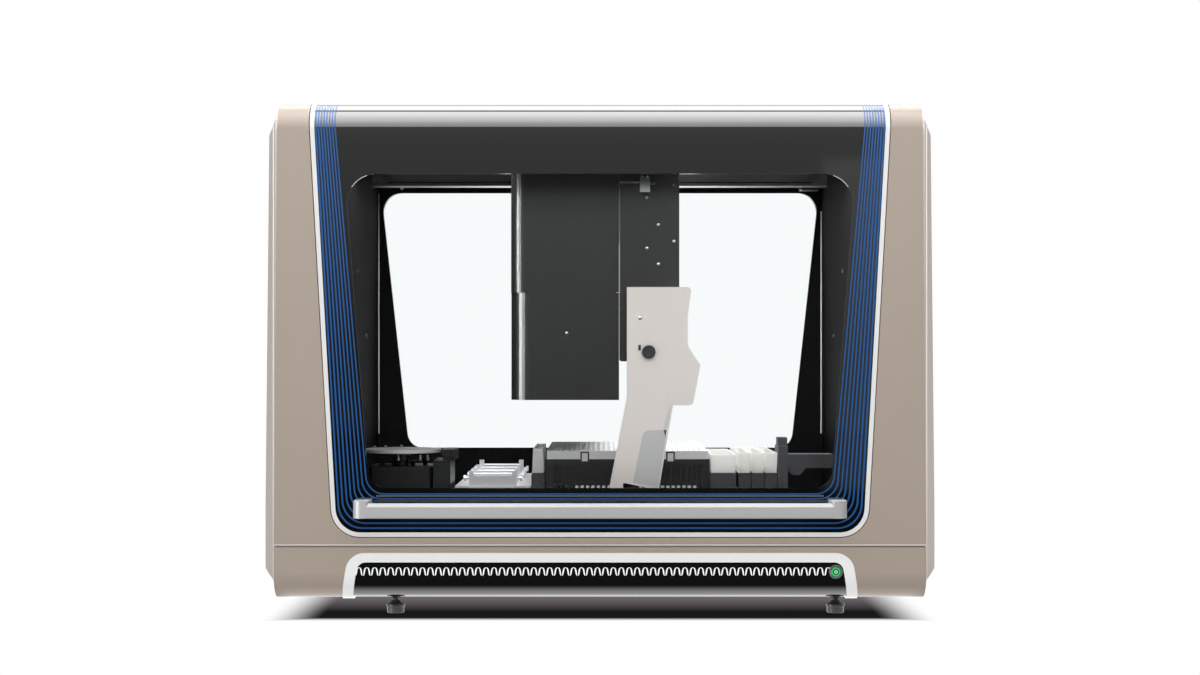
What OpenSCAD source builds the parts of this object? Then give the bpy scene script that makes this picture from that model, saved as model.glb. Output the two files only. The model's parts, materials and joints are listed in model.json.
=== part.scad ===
// Compact bench liquid handling robot: a walk-up enclosure with a lifting front door,
// a deck of carriers, and a gantry that carries a pipetting head in X, Y and Z.
// Millimetres. +Z up, front towards -Y, origin on the bench below the middle of the part.

/* [Overall] */
// Width over the two side covers
overall_w = 1080; // [1040:5:1140]
// Depth from the front of the door handle to the rear cover
overall_d = 790; // [780:5:850]
// Height from the bench to the top of the door
overall_h = 814; // [806:1:850]
// Clear height of the body above the bench
foot_h = 28; // [24:1:34]

/* [Housing skins] */
// Thickness of the moulded outer skins
skin_t = 4; // [3:0.5:5]
// Outer radius of the long bends along the top and bottom edges
bend_r = 40; // [30:1:48]
// How far the front surround stands in from the sides where it meets the base
fascia_in_low = 25; // [22:1:32]
// How far the front surround stands in from the sides at the top
fascia_in_top = 31; // [28:1:36]
// Height of the seam between base and surround
seam_z = 112; // [108:1:118]
// Width of the seam
seam_gap = 3; // [2:0.5:4]
// Depth of a side cover, from the side frame outwards
cover_depth = 37; // [30:1:44]
// How far the chamfer of a side cover runs in from its edge
cover_chamfer = 24; // [16:1:30]
// How far the slope at a side cover's front edge runs back
cover_slope = 60; // [24:2:80]
// How much narrower the side covers are at the top than at the bottom
cover_lean = 6; // [0:0.5:10]
// Depth of the soft edge outside the chamfer
cover_round = 7; // [5:1:10]
// Depth of the straight skirt of a side cover
cover_skirt = 11; // [8:1:16]

/* [Door] */
// Width of the surround beside the door at the bend
door_strip = 51; // [45:1:55]
// Bottom edge of the door
door_bottom_z = 127; // [124:1:132]
// How far each side leans in, per millimetre of height
door_lean = 0.0557; // [0.05:0.001:0.06]
// Outer radius of the lower door corners
door_corner_r = 46; // [40:1:56]
// Width of the white rim round the door
rim_w = 7; // [5:0.5:9]
// Depth of the rim
rim_d = 16; // [12:1:18]
// How far the black door panel lies below its rim
panel_recess = 0.5; // [0.3:0.1:1]
// Thickness of the black door panel
panel_t = 5; // [4:0.5:6]
// Running gap round the door
door_gap = 1.5; // [1:0.25:2]
// How far the top of the door reaches back to its hinge
door_reach = 140; // [120:5:150]
// Bottom of the window, and how far its top lies below the top of the door
window_low_z = 204; // [198:1:210]
window_drop = 114; // [104:1:124]
// Width of the black border beside the window's foot, over the rim
window_border = 61; // [56:1:70]
// How far each window side leans in, per millimetre of height
window_lean = 0.0768; // [0.06:0.001:0.08]
// Thickness of the clear panes
pane_t = 4; // [3:0.5:5]
// How far a pane laps behind its frame
pane_lap = 10; // [8:1:14]
// How far the ends of the handle stand in from the sides of the door
handle_inset = 38.5; // [34:0.5:60]
// Height and depth of the handle bar
handle_h = 23; // [20:1:26]
handle_d = 15; // [12:1:18]
// Width of the bevel along the bar's top edge
handle_bevel = 5; // [3:0.5:6]
// How much taller the end posts are than the bar
post_extra = 4; // [2:0.5:6]
// How far the handle stands out from the door
handle_out = 38; // [32:1:44]
// Height of the middle of the handle
handle_z = 172.5; // [165:1:180]

/* [Hinges] */
// Radius of the hinge pin
hinge_pin_r = 3; // [2.5:0.25:3.5]
// Radial running clearance of pins and shafts
running = 0.05; // [0.03:0.01:0.08]
// Radius of a hinge knuckle
knuckle_r = 6; // [5:0.5:7]
// Depth of the hinge axis below the top
hinge_drop = 8; // [7:0.5:9]
// Length of one hinge, and its place along the door
hinge_len = 120; // [100:5:140]
hinge_x = 330; // [300:5:380]

/* [Base panel] */
// Half width of the light panel surround at its top
light_half = 397; // [380:1:400]
// Top edge of the surround
light_top_z = 102; // [98:1:104]
// Width of the surround
light_rim = 15; // [12:1:18]
// How far the surround stands proud
light_proud = 2.5; // [2:0.5:3]
// How far the surround spreads, per millimetre of fall
light_flare = 0.17; // [0.1:0.01:0.2]
// How far the power button stands in from the surround's outer edge
button_inset = 25; // [24:1:40]
// Height of the power button
button_z = 72; // [70:1:74]
// Radius and travel of the power button
button_r = 8; // [7:0.5:9]
button_travel = 3; // [2:0.5:4]

/* [Chassis] */
// Height of the top of the deck
deck_z = 150; // [146:1:156]
// Thickness of the deck plate
deck_t = 10; // [8:1:12]
// Pitch of the deck tracks, and the width and depth of their grooves
track_pitch = 22.5; // [20:0.5:25]
groove_w = 4; // [3:0.5:5]
groove_d = 2; // [1:0.5:3]
// Space between a side frame and the chamber wall
wall_space = 63; // [60:1:68]
// Thickness of sheet metal walls
sheet_t = 2; // [1.5:0.5:3]
// Thickness of the chassis plates
plate_t = 3; // [2.5:0.5:4]
// Distance of the chamber's rear wall from the back
rear_gap = 35; // [32:1:40]
// How far the feet stand in from the ends of the light panel's trim
foot_in = 43; // [30:1:60]
// How far the feet are set off to the right
foot_shift = 25; // [0:1:40]
foot_inset = 60; // [50:1:70]
// Radius of a foot pad and of its stud
foot_r = 15; // [13:1:18]
stud_r = 5; // [4:0.5:6]

/* [Gantry] */
// Section of the X beam
beam_d = 35; // [30:1:38]
beam_h = 58; // [54:1:60]
// Width and depth of the linear rails
rail_w = 16; // [12:1:18]
rail_d = 10; // [8:1:11]
// Radius and width of the belt pulleys
pulley_r = 9; // [8:0.5:10]
pulley_w = 8; // [7:0.5:9]
// Thickness of the belts
belt_t = 1.5; // [1:0.25:2]
// Left and right faces of the arm at rest
arm_left = -146; // [-150:1:-140]
arm_right = 31; // [29:1:33]
// Depth of the arm's top below the top of the body
arm_drop = 56; // [54:1:64]
// Heights of the upper and lower arm covers
arm_upper_h = 242; // [230:1:250]
arm_lower_h = 175; // [165:1:185]
// Front of the arm, measured back from the door face
arm_setback = 93; // [88:1:98]
// Corner radii of the upper and lower arm covers
arm_round_up = 25; // [12:1:28]
arm_round_low = 34; // [12:1:36]
// Thickness of the arm and head covers
cover_t = 2; // [1.5:0.5:2.5]
// Depth of the head cover
head_d = 22; // [18:1:24]

/* [Pipetting head] */
// Number and pitch of the channels
channels = 4; // [2:1:4]
channel_pitch = 18; // [16:0.5:18]
// Radius of a barrel, and the height of its nose above the deck at rest
barrel_r = 7; // [5:0.5:7.5]
nose_up = 118; // [116:1:124]
// Radius of the lifting screw
screw_r = 4; // [3:0.5:5]

/* [Deck load] */
// First and last edge of the carriers, measured from the door face
load_front = 180; // [178:1:184]
load_depth = 350; // [344:2:352]
// Top of the tip racks
rack_top_z = 254; // [250:1:258]
// Footprint of one rack
rack_w = 127.8; // [127:0.1:128.5]
rack_d = 85.5; // [85:0.1:86]
// Pitch and radius of the tip holes
tip_pitch = 9; // [9:0.1:9.1]
tip_hole_r = 3; // [2.5:0.1:3.3]
// Width of the plate carrier's base, and the distance between its uprights
base_w = 127; // [120:1:128]
upright_gap = 72; // [66:1:80]
// Radius and height of the turntable
disc_r = 64; // [56:1:68]
disc_z = 248; // [244:1:250]

/* [Hidden] */
$fn = 48;
arc_steps = 10;
eps = 0.01;
free = 0.3;          // clearance between pieces that slide past each other
y_front = -overall_d / 2 + handle_out;
inlet_flange = 2;
y_rear = overall_d / 2 - inlet_flange;   // outer face of the rear cover
z_low = foot_h;
z_top = overall_h;
half_w = overall_w / 2;
frame_x = half_w - cover_depth;      // outer face of the side frames
frame_half = frame_x - plate_t;
chamber_half = frame_half - wall_space;
fascia_half_low = half_w - fascia_in_low;
fascia_half_top = half_w - fascia_in_top;
door_half = fascia_half_top - door_strip;
window_top_z = z_top - window_drop;
arm_top_z = z_top - arm_drop;
arm_split_z = arm_top_z - arm_upper_h;
arm_low_z = arm_split_z - arm_lower_h;
nose_z = deck_z + nose_up;
button_x = light_half - button_inset;
bend_z = z_top - bend_r;
hinge_y = y_front + door_reach;
hinge_z = z_top - hinge_drop;
hinge_clear = 10;    // from the hinge axis to the top cover
flange_y = y_front + 24;              // front face of the side frames' flanges
rear_wall_y = y_rear - rear_gap;
tray_z = z_low + skin_t;
tray_rear = rear_wall_y + 12;
beam_front = rear_wall_y - 50 - beam_d;
beam_low = z_top - 14 - beam_h;
x_rail_z = beam_low + beam_h - 16;
x_belt_z = beam_low + 16;
pulley_x = chamber_half - 27;
arm_front = y_front + arm_setback;
arm_rear = beam_front - rail_d - 15;
y_rail_z = arm_top_z - 68;
y_belt_z = arm_top_z - 118;
end_plate_t = 4;
head_front = arm_front - end_plate_t - head_d;
channel_y = arm_front + 15;           // middle of the front channel
carriage_y = channel_y + (channels - 1) * channel_pitch / 2;
carriage_x = arm_right + 19;
barrel_x = carriage_x + 38;
screw_x = carriage_x + 18.5;
load_y = y_front + load_front;
rear_load_y = load_y + load_depth;
racks = 4;
rack_pitch = (load_depth - rack_d) / (racks - 1);

beige = [0.68, 0.62, 0.57];
white = [0.92, 0.92, 0.91];
black = [0.1, 0.1, 0.1];
dark = [0.2, 0.2, 0.2];
silver = [0.75, 0.75, 0.76];

// ---- outlines ---------------------------------------------------------------

function unit(v) = v / norm(v);
// The arc that rounds corner q, between its neighbours p and s.
function corner(p, q, s, r) =
  let (u = unit(p - q), v = unit(s - q), half = acos(u * v) / 2,
       c = q + unit(u + v) * r / sin(half),
       a = q + u * r / tan(half) - c, b = q + v * r / tan(half) - c,
       a0 = atan2(a.y, a.x), turn = atan2(b.y, b.x) - a0,
       sweep = turn > 180 ? turn - 360 : turn < -180 ? turn + 360 : turn)
  r == 0 ? [q] : [for (i = [0 : arc_steps])
    c + r * [cos(a0 + sweep * i / arc_steps), sin(a0 + sweep * i / arc_steps)]];
// A polygon with each corner rounded to its own radius.
function rounded(pts, rs) = let (m = len(pts))
  [for (i = [0 : m - 1]) each corner(pts[(i + m - 1) % m], pts[i], pts[(i + 1) % m], rs[i])];
function rect(x0, y0, x1, y1) = [[x0, y0], [x1, y0], [x1, y1], [x0, y1]];

// Half width of the door at height z, over the white rim.
function door_at(z) = door_half - door_lean * max(bend_z - z, 0);
// The door in front view, shrunk by inset, open at the top.
function door_outline(inset) = let (low = door_bottom_z + inset)
  rounded([[-door_at(low) + inset, low], [door_at(low) - inset, low],
           [door_half - inset, bend_z], [door_half - inset, z_top + 60],
           [-door_half + inset, z_top + 60], [-door_half + inset, bend_z]],
          [door_corner_r - inset, door_corner_r - inset, 0, 0, 0, 0]);
function window_at(z) = door_at(window_low_z) - window_border + window_lean * (z - window_low_z);
window_r_top = 46;
window_r_low = 30;
function window_outline(grow) = let (lo = window_low_z - grow, hi = window_top_z + grow)
  rounded([[-window_at(lo) - grow, lo], [window_at(lo) + grow, lo],
           [window_at(hi) + grow, hi], [-window_at(hi) - grow, hi]],
          [window_r_low + grow, window_r_low + grow, window_r_top + grow, window_r_top + grow]);
// The rear window leans in more than the front one, and clears the chamber's corners.
rear_low_z = window_low_z + 30;
rear_top_z = window_top_z + 36;
rear_lap = 3;
rear_half_low = chamber_half - 60;
rear_half_top = chamber_half - rear_lap - 2;
function rear_outline(grow) =
  rounded([[-rear_half_low - grow, rear_low_z - grow], [rear_half_low + grow, rear_low_z - grow],
           [rear_half_top + grow, rear_top_z + grow], [-rear_half_top - grow, rear_top_z + grow]],
          [30 + grow, 30 + grow, 36 + grow, 36 + grow]);
// The light panel's surround in front view, shrunk by inset, open at the bottom.
function light_outline(inset) = let (hi = light_top_z - inset, lo = -60)
  rounded([[-light_half + inset - light_flare * (hi - lo), lo],
           [light_half - inset + light_flare * (hi - lo), lo],
           [light_half - inset, hi], [-light_half + inset, hi]],
          [0, 0, max(30 - inset, 12), max(30 - inset, 12)]);

// ---- building blocks --------------------------------------------------------

module along_y(y0, y1) { translate([0, y1, 0]) rotate([90, 0, 0]) linear_extrude(y1 - y0) children(); }
module along_x(x0, x1) { translate([x0, 0, 0]) rotate([90, 0, 90]) linear_extrude(x1 - x0) children(); }
module block(a, b) { translate(a) cube(b - a); }
module rod_x(x0, x1, y, z, r) { translate([x0, y, z]) rotate([0, 90, 0]) cylinder(h = x1 - x0, r = r); }
module rod_y(x, y0, y1, z, r) { translate([x, y1, z]) rotate([90, 0, 0]) cylinder(h = y1 - y0, r = r); }
module rod_z(x, y, z0, z1, r) { translate([x, y, z0]) cylinder(h = z1 - z0, r = r); }

// A quarter bend about an axis along X, from the direction at angle start onwards:
// 0 points down, 90 to the rear, 180 up and 270 to the front.
module quarter_bend(half, y, z, r, t, start) {
  translate([-half, y, z]) rotate([0, 90, 0]) rotate([0, 0, start])
    rotate_extrude(angle = 90) translate([r - t, 0]) square([t, 2 * half]);
}
// A skin that stands at the front and bends over the top to y = back.
module top_skin(half, grow, t, low, back) {
  block([-half, y_front - grow, low], [half, y_front - grow + t, bend_z]);
  quarter_bend(half, y_front + bend_r, bend_z, bend_r + grow, t, 180);
  block([-half, y_front + bend_r, z_top + grow - t], [half, back, z_top + grow]);
}
// A skin that stands at the front and bends under the base to y = back.
module base_skin(half, grow, t, high, back) {
  block([-half, y_front - grow, z_low + bend_r], [half, y_front - grow + t, high]);
  quarter_bend(half, y_front + bend_r, z_low + bend_r, bend_r + grow, t, 270);
  block([-half, y_front + bend_r, z_low - grow], [half, back, z_low - grow + t]);
}
module front_prism(points) { along_y(y_front - 20, hinge_y + 40) polygon(points); }
// Both signs of X.
module both() { children(); mirror([1, 0, 0]) children(); }

// ---- chassis ----------------------------------------------------------------

base_back = y_front + 150;      // how far the base skins run under the body
tray_front = y_front + bend_r;       // clears the bend of the base skin
foot_x = light_half - foot_in;
feet = [for (x = [foot_shift - foot_x, foot_shift + foot_x], y = [y_front + foot_inset, y_rear - foot_inset]) [x, y]];
vent_slots = 10;
inlet_x = -chamber_half + 60;
inlet_z = z_low + 55;
inlet_w = 28;
inlet_h = 22;

top_r = 26;                     // bend along the rear top edge
module base_tray() color(dark) difference() {
  union() {
    block([-frame_half, tray_front, tray_z], [frame_half, tray_rear, tray_z + plate_t]);
    for (y = [tray_front, tray_rear - plate_t])
      block([-frame_half, y, tray_z], [frame_half, y + plate_t, deck_z - deck_t]);
    both() block([frame_half - plate_t, tray_front, tray_z], [frame_half, tray_rear, deck_z - deck_t]);
    // threaded bosses for the feet
    for (f = feet) rod_z(f.x, f.y, tray_z, tray_z + 16, 12);
    // ribs below the deck
    for (x = [-180, 180])
      block([x - 1.5, tray_front + plate_t, tray_z + plate_t], [x + 1.5, tray_rear - plate_t, deck_z - deck_t]);
  }
  for (f = feet) rod_z(f.x, f.y, tray_z - 1, tray_z + 20, stud_r + running);
  // vents in the service band
  for (i = [0 : vent_slots - 1])
    translate([frame_half - 230 + i * 14, tray_rear - plate_t - 1, z_low + 34]) cube([6, plate_t + 2, 60]);
}

module deck_plate() color(silver) difference() {
  block([-frame_half, tray_front, deck_z - deck_t], [frame_half, rear_wall_y + sheet_t, deck_z]);
  tracks = floor(2 * (chamber_half - 20) / track_pitch);
  for (i = [0 : tracks])
    translate([(i - tracks / 2) * track_pitch - groove_w / 2, load_y - 12, deck_z - groove_d])
      cube([groove_w, load_depth + 24, groove_d + 1]);
}

// Two folded side frames: an outer web with a flange to the chamber at front and rear.
module side_frames() color(dark) both() {
  back = tray_rear + plate_t;
  along_x(frame_half, frame_x) polygon([
    [tray_front, tray_z], [back, tray_z], [back, z_top - top_r], [back - 10, z_top - skin_t],
    [tray_front, z_top - skin_t], [flange_y, bend_z], [flange_y, z_low + bend_r]]);
  block([chamber_half + sheet_t, flange_y, seam_z + 8], [frame_half + eps, flange_y + plate_t, bend_z]);
  block([chamber_half + sheet_t, tray_rear, deck_z], [frame_half + eps, back, z_top - top_r]);
}

cross_d = 27;
cross_y = hinge_y + hinge_clear + 2;
cross_low = z_top - 44;
module hinge_cross_beam() color(dark) difference() {
  block([-frame_half, cross_y, cross_low], [frame_half, cross_y + cross_d, z_top - skin_t]);
  block([-frame_half - 1, cross_y + plate_t, cross_low + plate_t],
        [frame_half + 1, cross_y + cross_d - plate_t, z_top - skin_t - plate_t]);
}

module inner_walls() color(black) both() difference() {
  block([chamber_half, flange_y, deck_z], [chamber_half + sheet_t, rear_wall_y, cross_low - 5]);
  // clears the X beam
  block([chamber_half - 1, beam_front - 6, beam_low - free], [chamber_half + sheet_t + 1, beam_front + beam_d + 6, z_top]);
}

module rear_wall() color(black) difference() {
  block([-chamber_half, rear_wall_y, deck_z], [chamber_half, rear_wall_y + sheet_t, z_top - skin_t]);
  along_y(rear_wall_y - 1, rear_wall_y + sheet_t + 1) polygon(rear_outline(0));
}

module rear_window() color([0.8, 0.9, 0.95, 0.3])
  along_y(rear_wall_y + sheet_t, rear_wall_y + sheet_t + pane_t) polygon(rear_outline(rear_lap));

service_z = deck_z - 12;             // top of the service band below the rear cover
rear_edge_z = z_top - bend_r - 16;   // seam between the rear and top covers
module rear_cover() color(beige) difference() {
  union() {
    along_y(y_rear - skin_t, y_rear)
      polygon(rounded(rect(-frame_half - plate_t, service_z, frame_half + plate_t, rear_edge_z), [14, 14, 0, 0]));
    // posts that reach the side frames
    for (x = [-frame_half + 30, frame_half - 30], z = [deck_z + 90, rear_edge_z - 240])
      rod_y(x, tray_rear + plate_t, y_rear - skin_t + eps, z, 8);
    // collar round the window, back to the pane
    difference() {
      along_y(rear_wall_y + sheet_t + pane_t, y_rear - skin_t + eps) polygon(rear_outline(rear_lap + 3));
      along_y(rear_wall_y, y_rear) polygon(rear_outline(rear_lap));
    }
  }
  along_y(y_rear - skin_t - 1, y_rear + 1) polygon(rear_outline(rear_lap));
}

gutter_drop = hinge_drop + knuckle_r + 3;   // depth of the gutter's floor below the top
module top_cover() color(beige) {
  half = fascia_half_top;
  front = hinge_y + hinge_clear;
  block([-half, front, z_top - skin_t], [half, y_rear - top_r, z_top]);
  quarter_bend(half, y_rear - top_r, z_top - top_r, top_r, skin_t, 90);
  block([-half, y_rear - skin_t, rear_edge_z + 1], [half, y_rear, z_top - top_r]);
  // lips that close the sides down to the side covers
  both() along_x(frame_x, half) polygon(rounded(
    [[front, cover_high + 1], [front, z_top - 1], [y_rear - 1, z_top - 1], [y_rear - 1, rear_edge_z + 1],
     [cover_back + 1, rear_edge_z + 1], [cover_back + 1, cover_high + 1]], [0, 0, top_r - 1, 0, 0, cover_r + 1]));
  // gutter below the hinges
  block([-door_half, front, z_top - gutter_drop - 2], [door_half, front + 2, z_top - skin_t + eps]);
  block([-door_half, hinge_y - 12, z_top - gutter_drop - 2], [door_half, front + eps, z_top - gutter_drop]);
}

// ---- outer skins ------------------------------------------------------------

module front_surround() color(beige) {
  low = seam_z + seam_gap / 2;
  side = rounded([[-fascia_half_low, seam_z + seam_gap / 2], [fascia_half_low, seam_z + seam_gap / 2],
                  [fascia_half_top, z_top + 1], [-fascia_half_top, z_top + 1]], [0, 0, 0, 0]);
  difference() {
    intersection() {
      top_skin(fascia_half_low, 0, skin_t, seam_z + seam_gap / 2, hinge_y + hinge_clear - 1);
      front_prism(side);
    }
    front_prism(door_outline(-door_gap));
  }
  // bead along the seam
  block([-fascia_half_low + 1, y_front - 1, low], [fascia_half_low - 1, y_front + eps, low + 1.6]);
  // cheeks between the skin and the side covers
  back = hinge_y + hinge_clear - 1;
  both() along_x(frame_x, fascia_half_top) polygon(rounded(
    [[y_front + 1, low], [y_front + 1, z_top - 1], [back, z_top - 1], [back, cover_high + 1],
     [cover_front - 1, cover_high + 1], [cover_front - 1, low]], [0, bend_r - 1, 0, 0, cover_r + 1, 0]));
  // return flange along the door opening, back to the side frames
  difference() {
    along_y(y_front + skin_t - eps, flange_y) polygon(door_outline(-door_gap - 3));
    along_y(y_front, flange_y + 1) polygon(door_outline(-door_gap));
    translate([-half_w, y_front, bend_z]) cube([2 * half_w, 60, 200]);
  }
}

// A side cover: a shallow moulded shell with chamfered edges.
cover_front = y_front + skin_t + 3;
cover_back = y_rear - 6;
cover_low = z_low + 17;
cover_high = z_top - 18;
cover_r = 30;
function cover_outline(inset) = rounded(
  rect(cover_front + inset * cover_slope / cover_chamfer, cover_low + inset, cover_back - inset, cover_high - inset),
  [1, 1, 1, 1] * max(cover_r - inset, 6));
// One slab of the outline at height x, its upper part set in by the lean.
module cover_slab(x, t, inset) {
  along_x(x, x + t) intersection() {
    polygon(cover_outline(inset));
    translate([-half_w, 0]) square([2 * half_w, cover_low + 120]);
  }
  along_x(x - cover_lean, x + t - cover_lean) intersection() {
    polygon(cover_outline(inset));
    translate([-half_w, cover_high - 120]) square([2 * half_w, 200]);
  }
}
module cover_body(wall) {
  hull() {
    along_x(frame_x - (wall > 0 ? 1 : 0), frame_x + cover_skirt) polygon(cover_outline(wall));
    cover_slab(half_w - cover_round - 1, 1, cover_chamfer - 7 + wall);
    cover_slab(half_w - wall - 0.5, 0.5, cover_chamfer + wall);
  }
}
module side_cover_right() color(beige) difference() {
  cover_body(0);
  cover_body(3);
}
module side_cover_left() color(beige) mirror([1, 0, 0]) difference() {
  cover_body(0);
  cover_body(3);
}

module base_fascia() color(beige) {
  difference() {
    base_skin(fascia_half_low, 0, skin_t, seam_z - seam_gap / 2, base_back);
    front_prism(light_outline(0));
  }
  high = seam_z - seam_gap / 2;
  both() along_x(frame_x, fascia_half_top) polygon(rounded(
    [[y_front + 1, high], [y_front + 1, z_low + 1], [base_back, z_low + 1], [base_back, cover_low - 1],
     [cover_front - 1, cover_low - 1], [cover_front - 1, high]], [0, bend_r - 1, 0, 0, cover_r + 1, 0]));
  // lugs back to the tray
  for (x = [-fascia_half_low + 40, fascia_half_low - 60])
    block([x, y_front + skin_t - eps, z_low + bend_r + 8], [x + 20, tray_front, seam_z - 12]);
}

module light_panel_trim() color(white) difference() {
  intersection() {
    base_skin(fascia_half_low, light_proud, skin_t + light_proud, seam_z, base_back - 2);
    front_prism(light_outline(0.2));
  }
  front_prism(light_outline(light_rim));
}

module light_panel() color(black) difference() {
  intersection() {
    base_skin(fascia_half_low, -0.5, skin_t - 0.5, seam_z, base_back - 2);
    front_prism(light_outline(light_rim));
  }
  rod_y(button_x, y_front - 5, y_front + 20, button_z, button_r + 2.4);
  for (f = feet) rod_z(f.x, f.y, z_low - 5, z_low + skin_t + 2, stud_r + 2);
}

bezel_depth = 16;
module button_bezel() color(silver) difference() {
  union() {
    rod_y(button_x, y_front - 0.5, y_front + 0.5, button_z, button_r + 3);
    rod_y(button_x, y_front, y_front + bezel_depth, button_z, button_r + 2.4);
  }
  rod_y(button_x, y_front - 2, y_front + bezel_depth - 3, button_z, button_r + free);
}
module power_button() color([0.2, 0.7, 0.3]) difference() {
  rod_y(button_x, y_front - 1.2, y_front + bezel_depth - 4 - button_travel, button_z, button_r);
  rod_y(button_x, y_front - 2, y_front - 0.6, button_z, button_r - 3);
}

module levelling_feet() for (f = feet) {
  color(black) {
    // pad, turned with a waist line and a sloping shoulder
    translate([f.x, f.y, 0]) rotate_extrude() polygon(
      [[0, 0], [foot_r - 2, 0], [foot_r - 1.2, 1], [foot_r - 1, 9], [foot_r, 11], [foot_r, 14],
       [foot_r - 6, 17], [stud_r + 2, 20], [0, 20]]);
  }
  color(silver) {
    rod_z(f.x, f.y, 20 - eps, tray_z + 24, stud_r);
    translate([f.x, f.y, foot_h - 5]) cylinder(h = 4, r = 8.5, $fn = 6);
  }
}

// ---- door -------------------------------------------------------------------

door_back = hinge_y - knuckle_r - 1;
panel_back = y_front + panel_recess + panel_t;
module door_frame() color(white) difference() {
  intersection() {
    top_skin(fascia_half_low, 0, rim_d, door_bottom_z - 2, door_back);
    front_prism(door_outline(0));
  }
  front_prism(door_outline(rim_w));
}
module door_panel() color(black) difference() {
  intersection() {
    top_skin(fascia_half_low, -panel_recess, panel_t, door_bottom_z - 2, door_back);
    front_prism(door_outline(rim_w));
  }
  along_y(y_front - 1, panel_back + 1) polygon(window_outline(0));
}
module door_window() color([0.8, 0.9, 0.95, 0.3])
  along_y(panel_back, panel_back + pane_t) polygon(window_outline(pane_lap));

// A bar with a bevelled top edge that turns back to the door in a taller round post at each end.
module door_handle() color(silver) {
  post_w = 26;
  low = handle_z - handle_h / 2 - post_extra / 2;
  half = door_at(handle_z) - handle_inset;
  front = y_front - handle_out;
  seat = y_front + panel_recess;
  // bar
  along_x(-half + post_w - 6, half - post_w + 6) polygon(rounded(
    [[front, low], [front + handle_d, low], [front + handle_d, low + handle_h],
     [front + handle_bevel, low + handle_h], [front, low + handle_h - handle_bevel]], [2, 2, 2, 1, 1]));
  // posts
  both() translate([0, 0, low]) linear_extrude(handle_h + post_extra)
    polygon(rounded([[half - post_w, seat], [half, seat], [half, front], [half - post_w + 2, front]], [0, 0, 14, 5]));
}

leaf_t = 2.5;
knuckle = hinge_len / 3;
module hinge_at() { for (x = [-hinge_x, hinge_x]) translate([x, hinge_y, hinge_z]) children(); }
module knuckle_tube(x0, x1) difference() {
  rod_x(x0, x1, 0, 0, knuckle_r);
  rod_x(x0 - 1, x1 + 1, 0, 0, hinge_pin_r + running);
}
module door_hinge_leaves() color(silver) hinge_at() {
  under = hinge_drop - panel_recess - panel_t;   // underside of the door panel above the axis
  difference() {
    union() {
      rod_x(-knuckle / 2 + free, knuckle / 2 - free, 0, 0, knuckle_r);
      block([-knuckle / 2 + free, -36, under - leaf_t], [knuckle / 2 - free, 0, under]);
    }
    rod_x(-knuckle, knuckle, 0, 0, hinge_pin_r + running);
    // flat on the tube, level with the underside of the door panel
    block([-knuckle, -12, under], [knuckle, 6, 20]);
  }
}
module body_hinge_leaves() color(silver) hinge_at() both() difference() {
  union() {
    rod_x(knuckle / 2, 3 * knuckle / 2, 0, 0, knuckle_r);
    block([knuckle / 2, 0, -knuckle_r], [3 * knuckle / 2, hinge_clear, -knuckle_r + leaf_t]);
    block([knuckle / 2, hinge_clear - leaf_t, hinge_drop - gutter_drop], [3 * knuckle / 2, hinge_clear, -knuckle_r + leaf_t]);
  }
  rod_x(knuckle / 2 - 1, 3 * knuckle / 2 + 1, 0, 0, hinge_pin_r + running);
}
module hinge_pins() color(silver) hinge_at() {
  rod_x(-hinge_len / 2 - 1, hinge_len / 2 + 1, 0, 0, hinge_pin_r);
  for (x = [-hinge_len / 2 - 3, hinge_len / 2 + 1 - eps]) rod_x(x, x + 2, 0, 0, hinge_pin_r + 1.5);
}

// ---- X axis -----------------------------------------------------------------

module x_beam() color(silver) difference() {
  block([-frame_half, beam_front, beam_low], [frame_half, beam_front + beam_d, beam_low + beam_h]);
  // hollow extrusion
  block([-frame_half - 1, beam_front + 4, beam_low + 4], [frame_half + 1, beam_front + beam_d - 4, beam_low + beam_h - 4]);
  for (x = [-pulley_x, pulley_x]) rod_y(x, beam_front - 1, beam_front + beam_d + 1, x_belt_z, 4 + running);
}
module rail_section(w, d) {
  waist = w * 0.1;
  polygon([[-w / 2, 0], [w / 2, 0], [w / 2, d * 0.35], [w / 2 - waist, d * 0.5], [w / 2 - waist, d * 0.7],
           [w / 2, d * 0.82], [w / 2, d], [-w / 2, d], [-w / 2, d * 0.82], [-w / 2 + waist, d * 0.7],
           [-w / 2 + waist, d * 0.5], [-w / 2, d * 0.35]]);
}
module x_rail() color(silver)
  translate([-chamber_half + 12, beam_front, x_rail_z]) rotate([90, 0, 90])
    linear_extrude(2 * chamber_half - 24) rotate(90) rail_section(rail_w, rail_d);

// A closed belt round two pulleys, drawn in its own plane.
module belt_loop(span) difference() {
  union() {
    for (x = [0, span]) translate([x, 0]) circle(r = pulley_r + belt_t);
    translate([0, -pulley_r - belt_t]) square([span, 2 * (pulley_r + belt_t)]);
  }
  for (x = [0, span]) translate([x, 0]) circle(r = pulley_r + 0.15);
  translate([0, -pulley_r - 0.15]) square([span, 2 * pulley_r + 0.3]);
}
x_pulley_y = beam_front - 2 - pulley_w;
module x_belt() color(black)
  along_y(x_pulley_y + 1.2, x_pulley_y + pulley_w - 1.2)
    translate([-pulley_x, x_belt_z]) belt_loop(2 * pulley_x);
teeth = 28;
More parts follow.
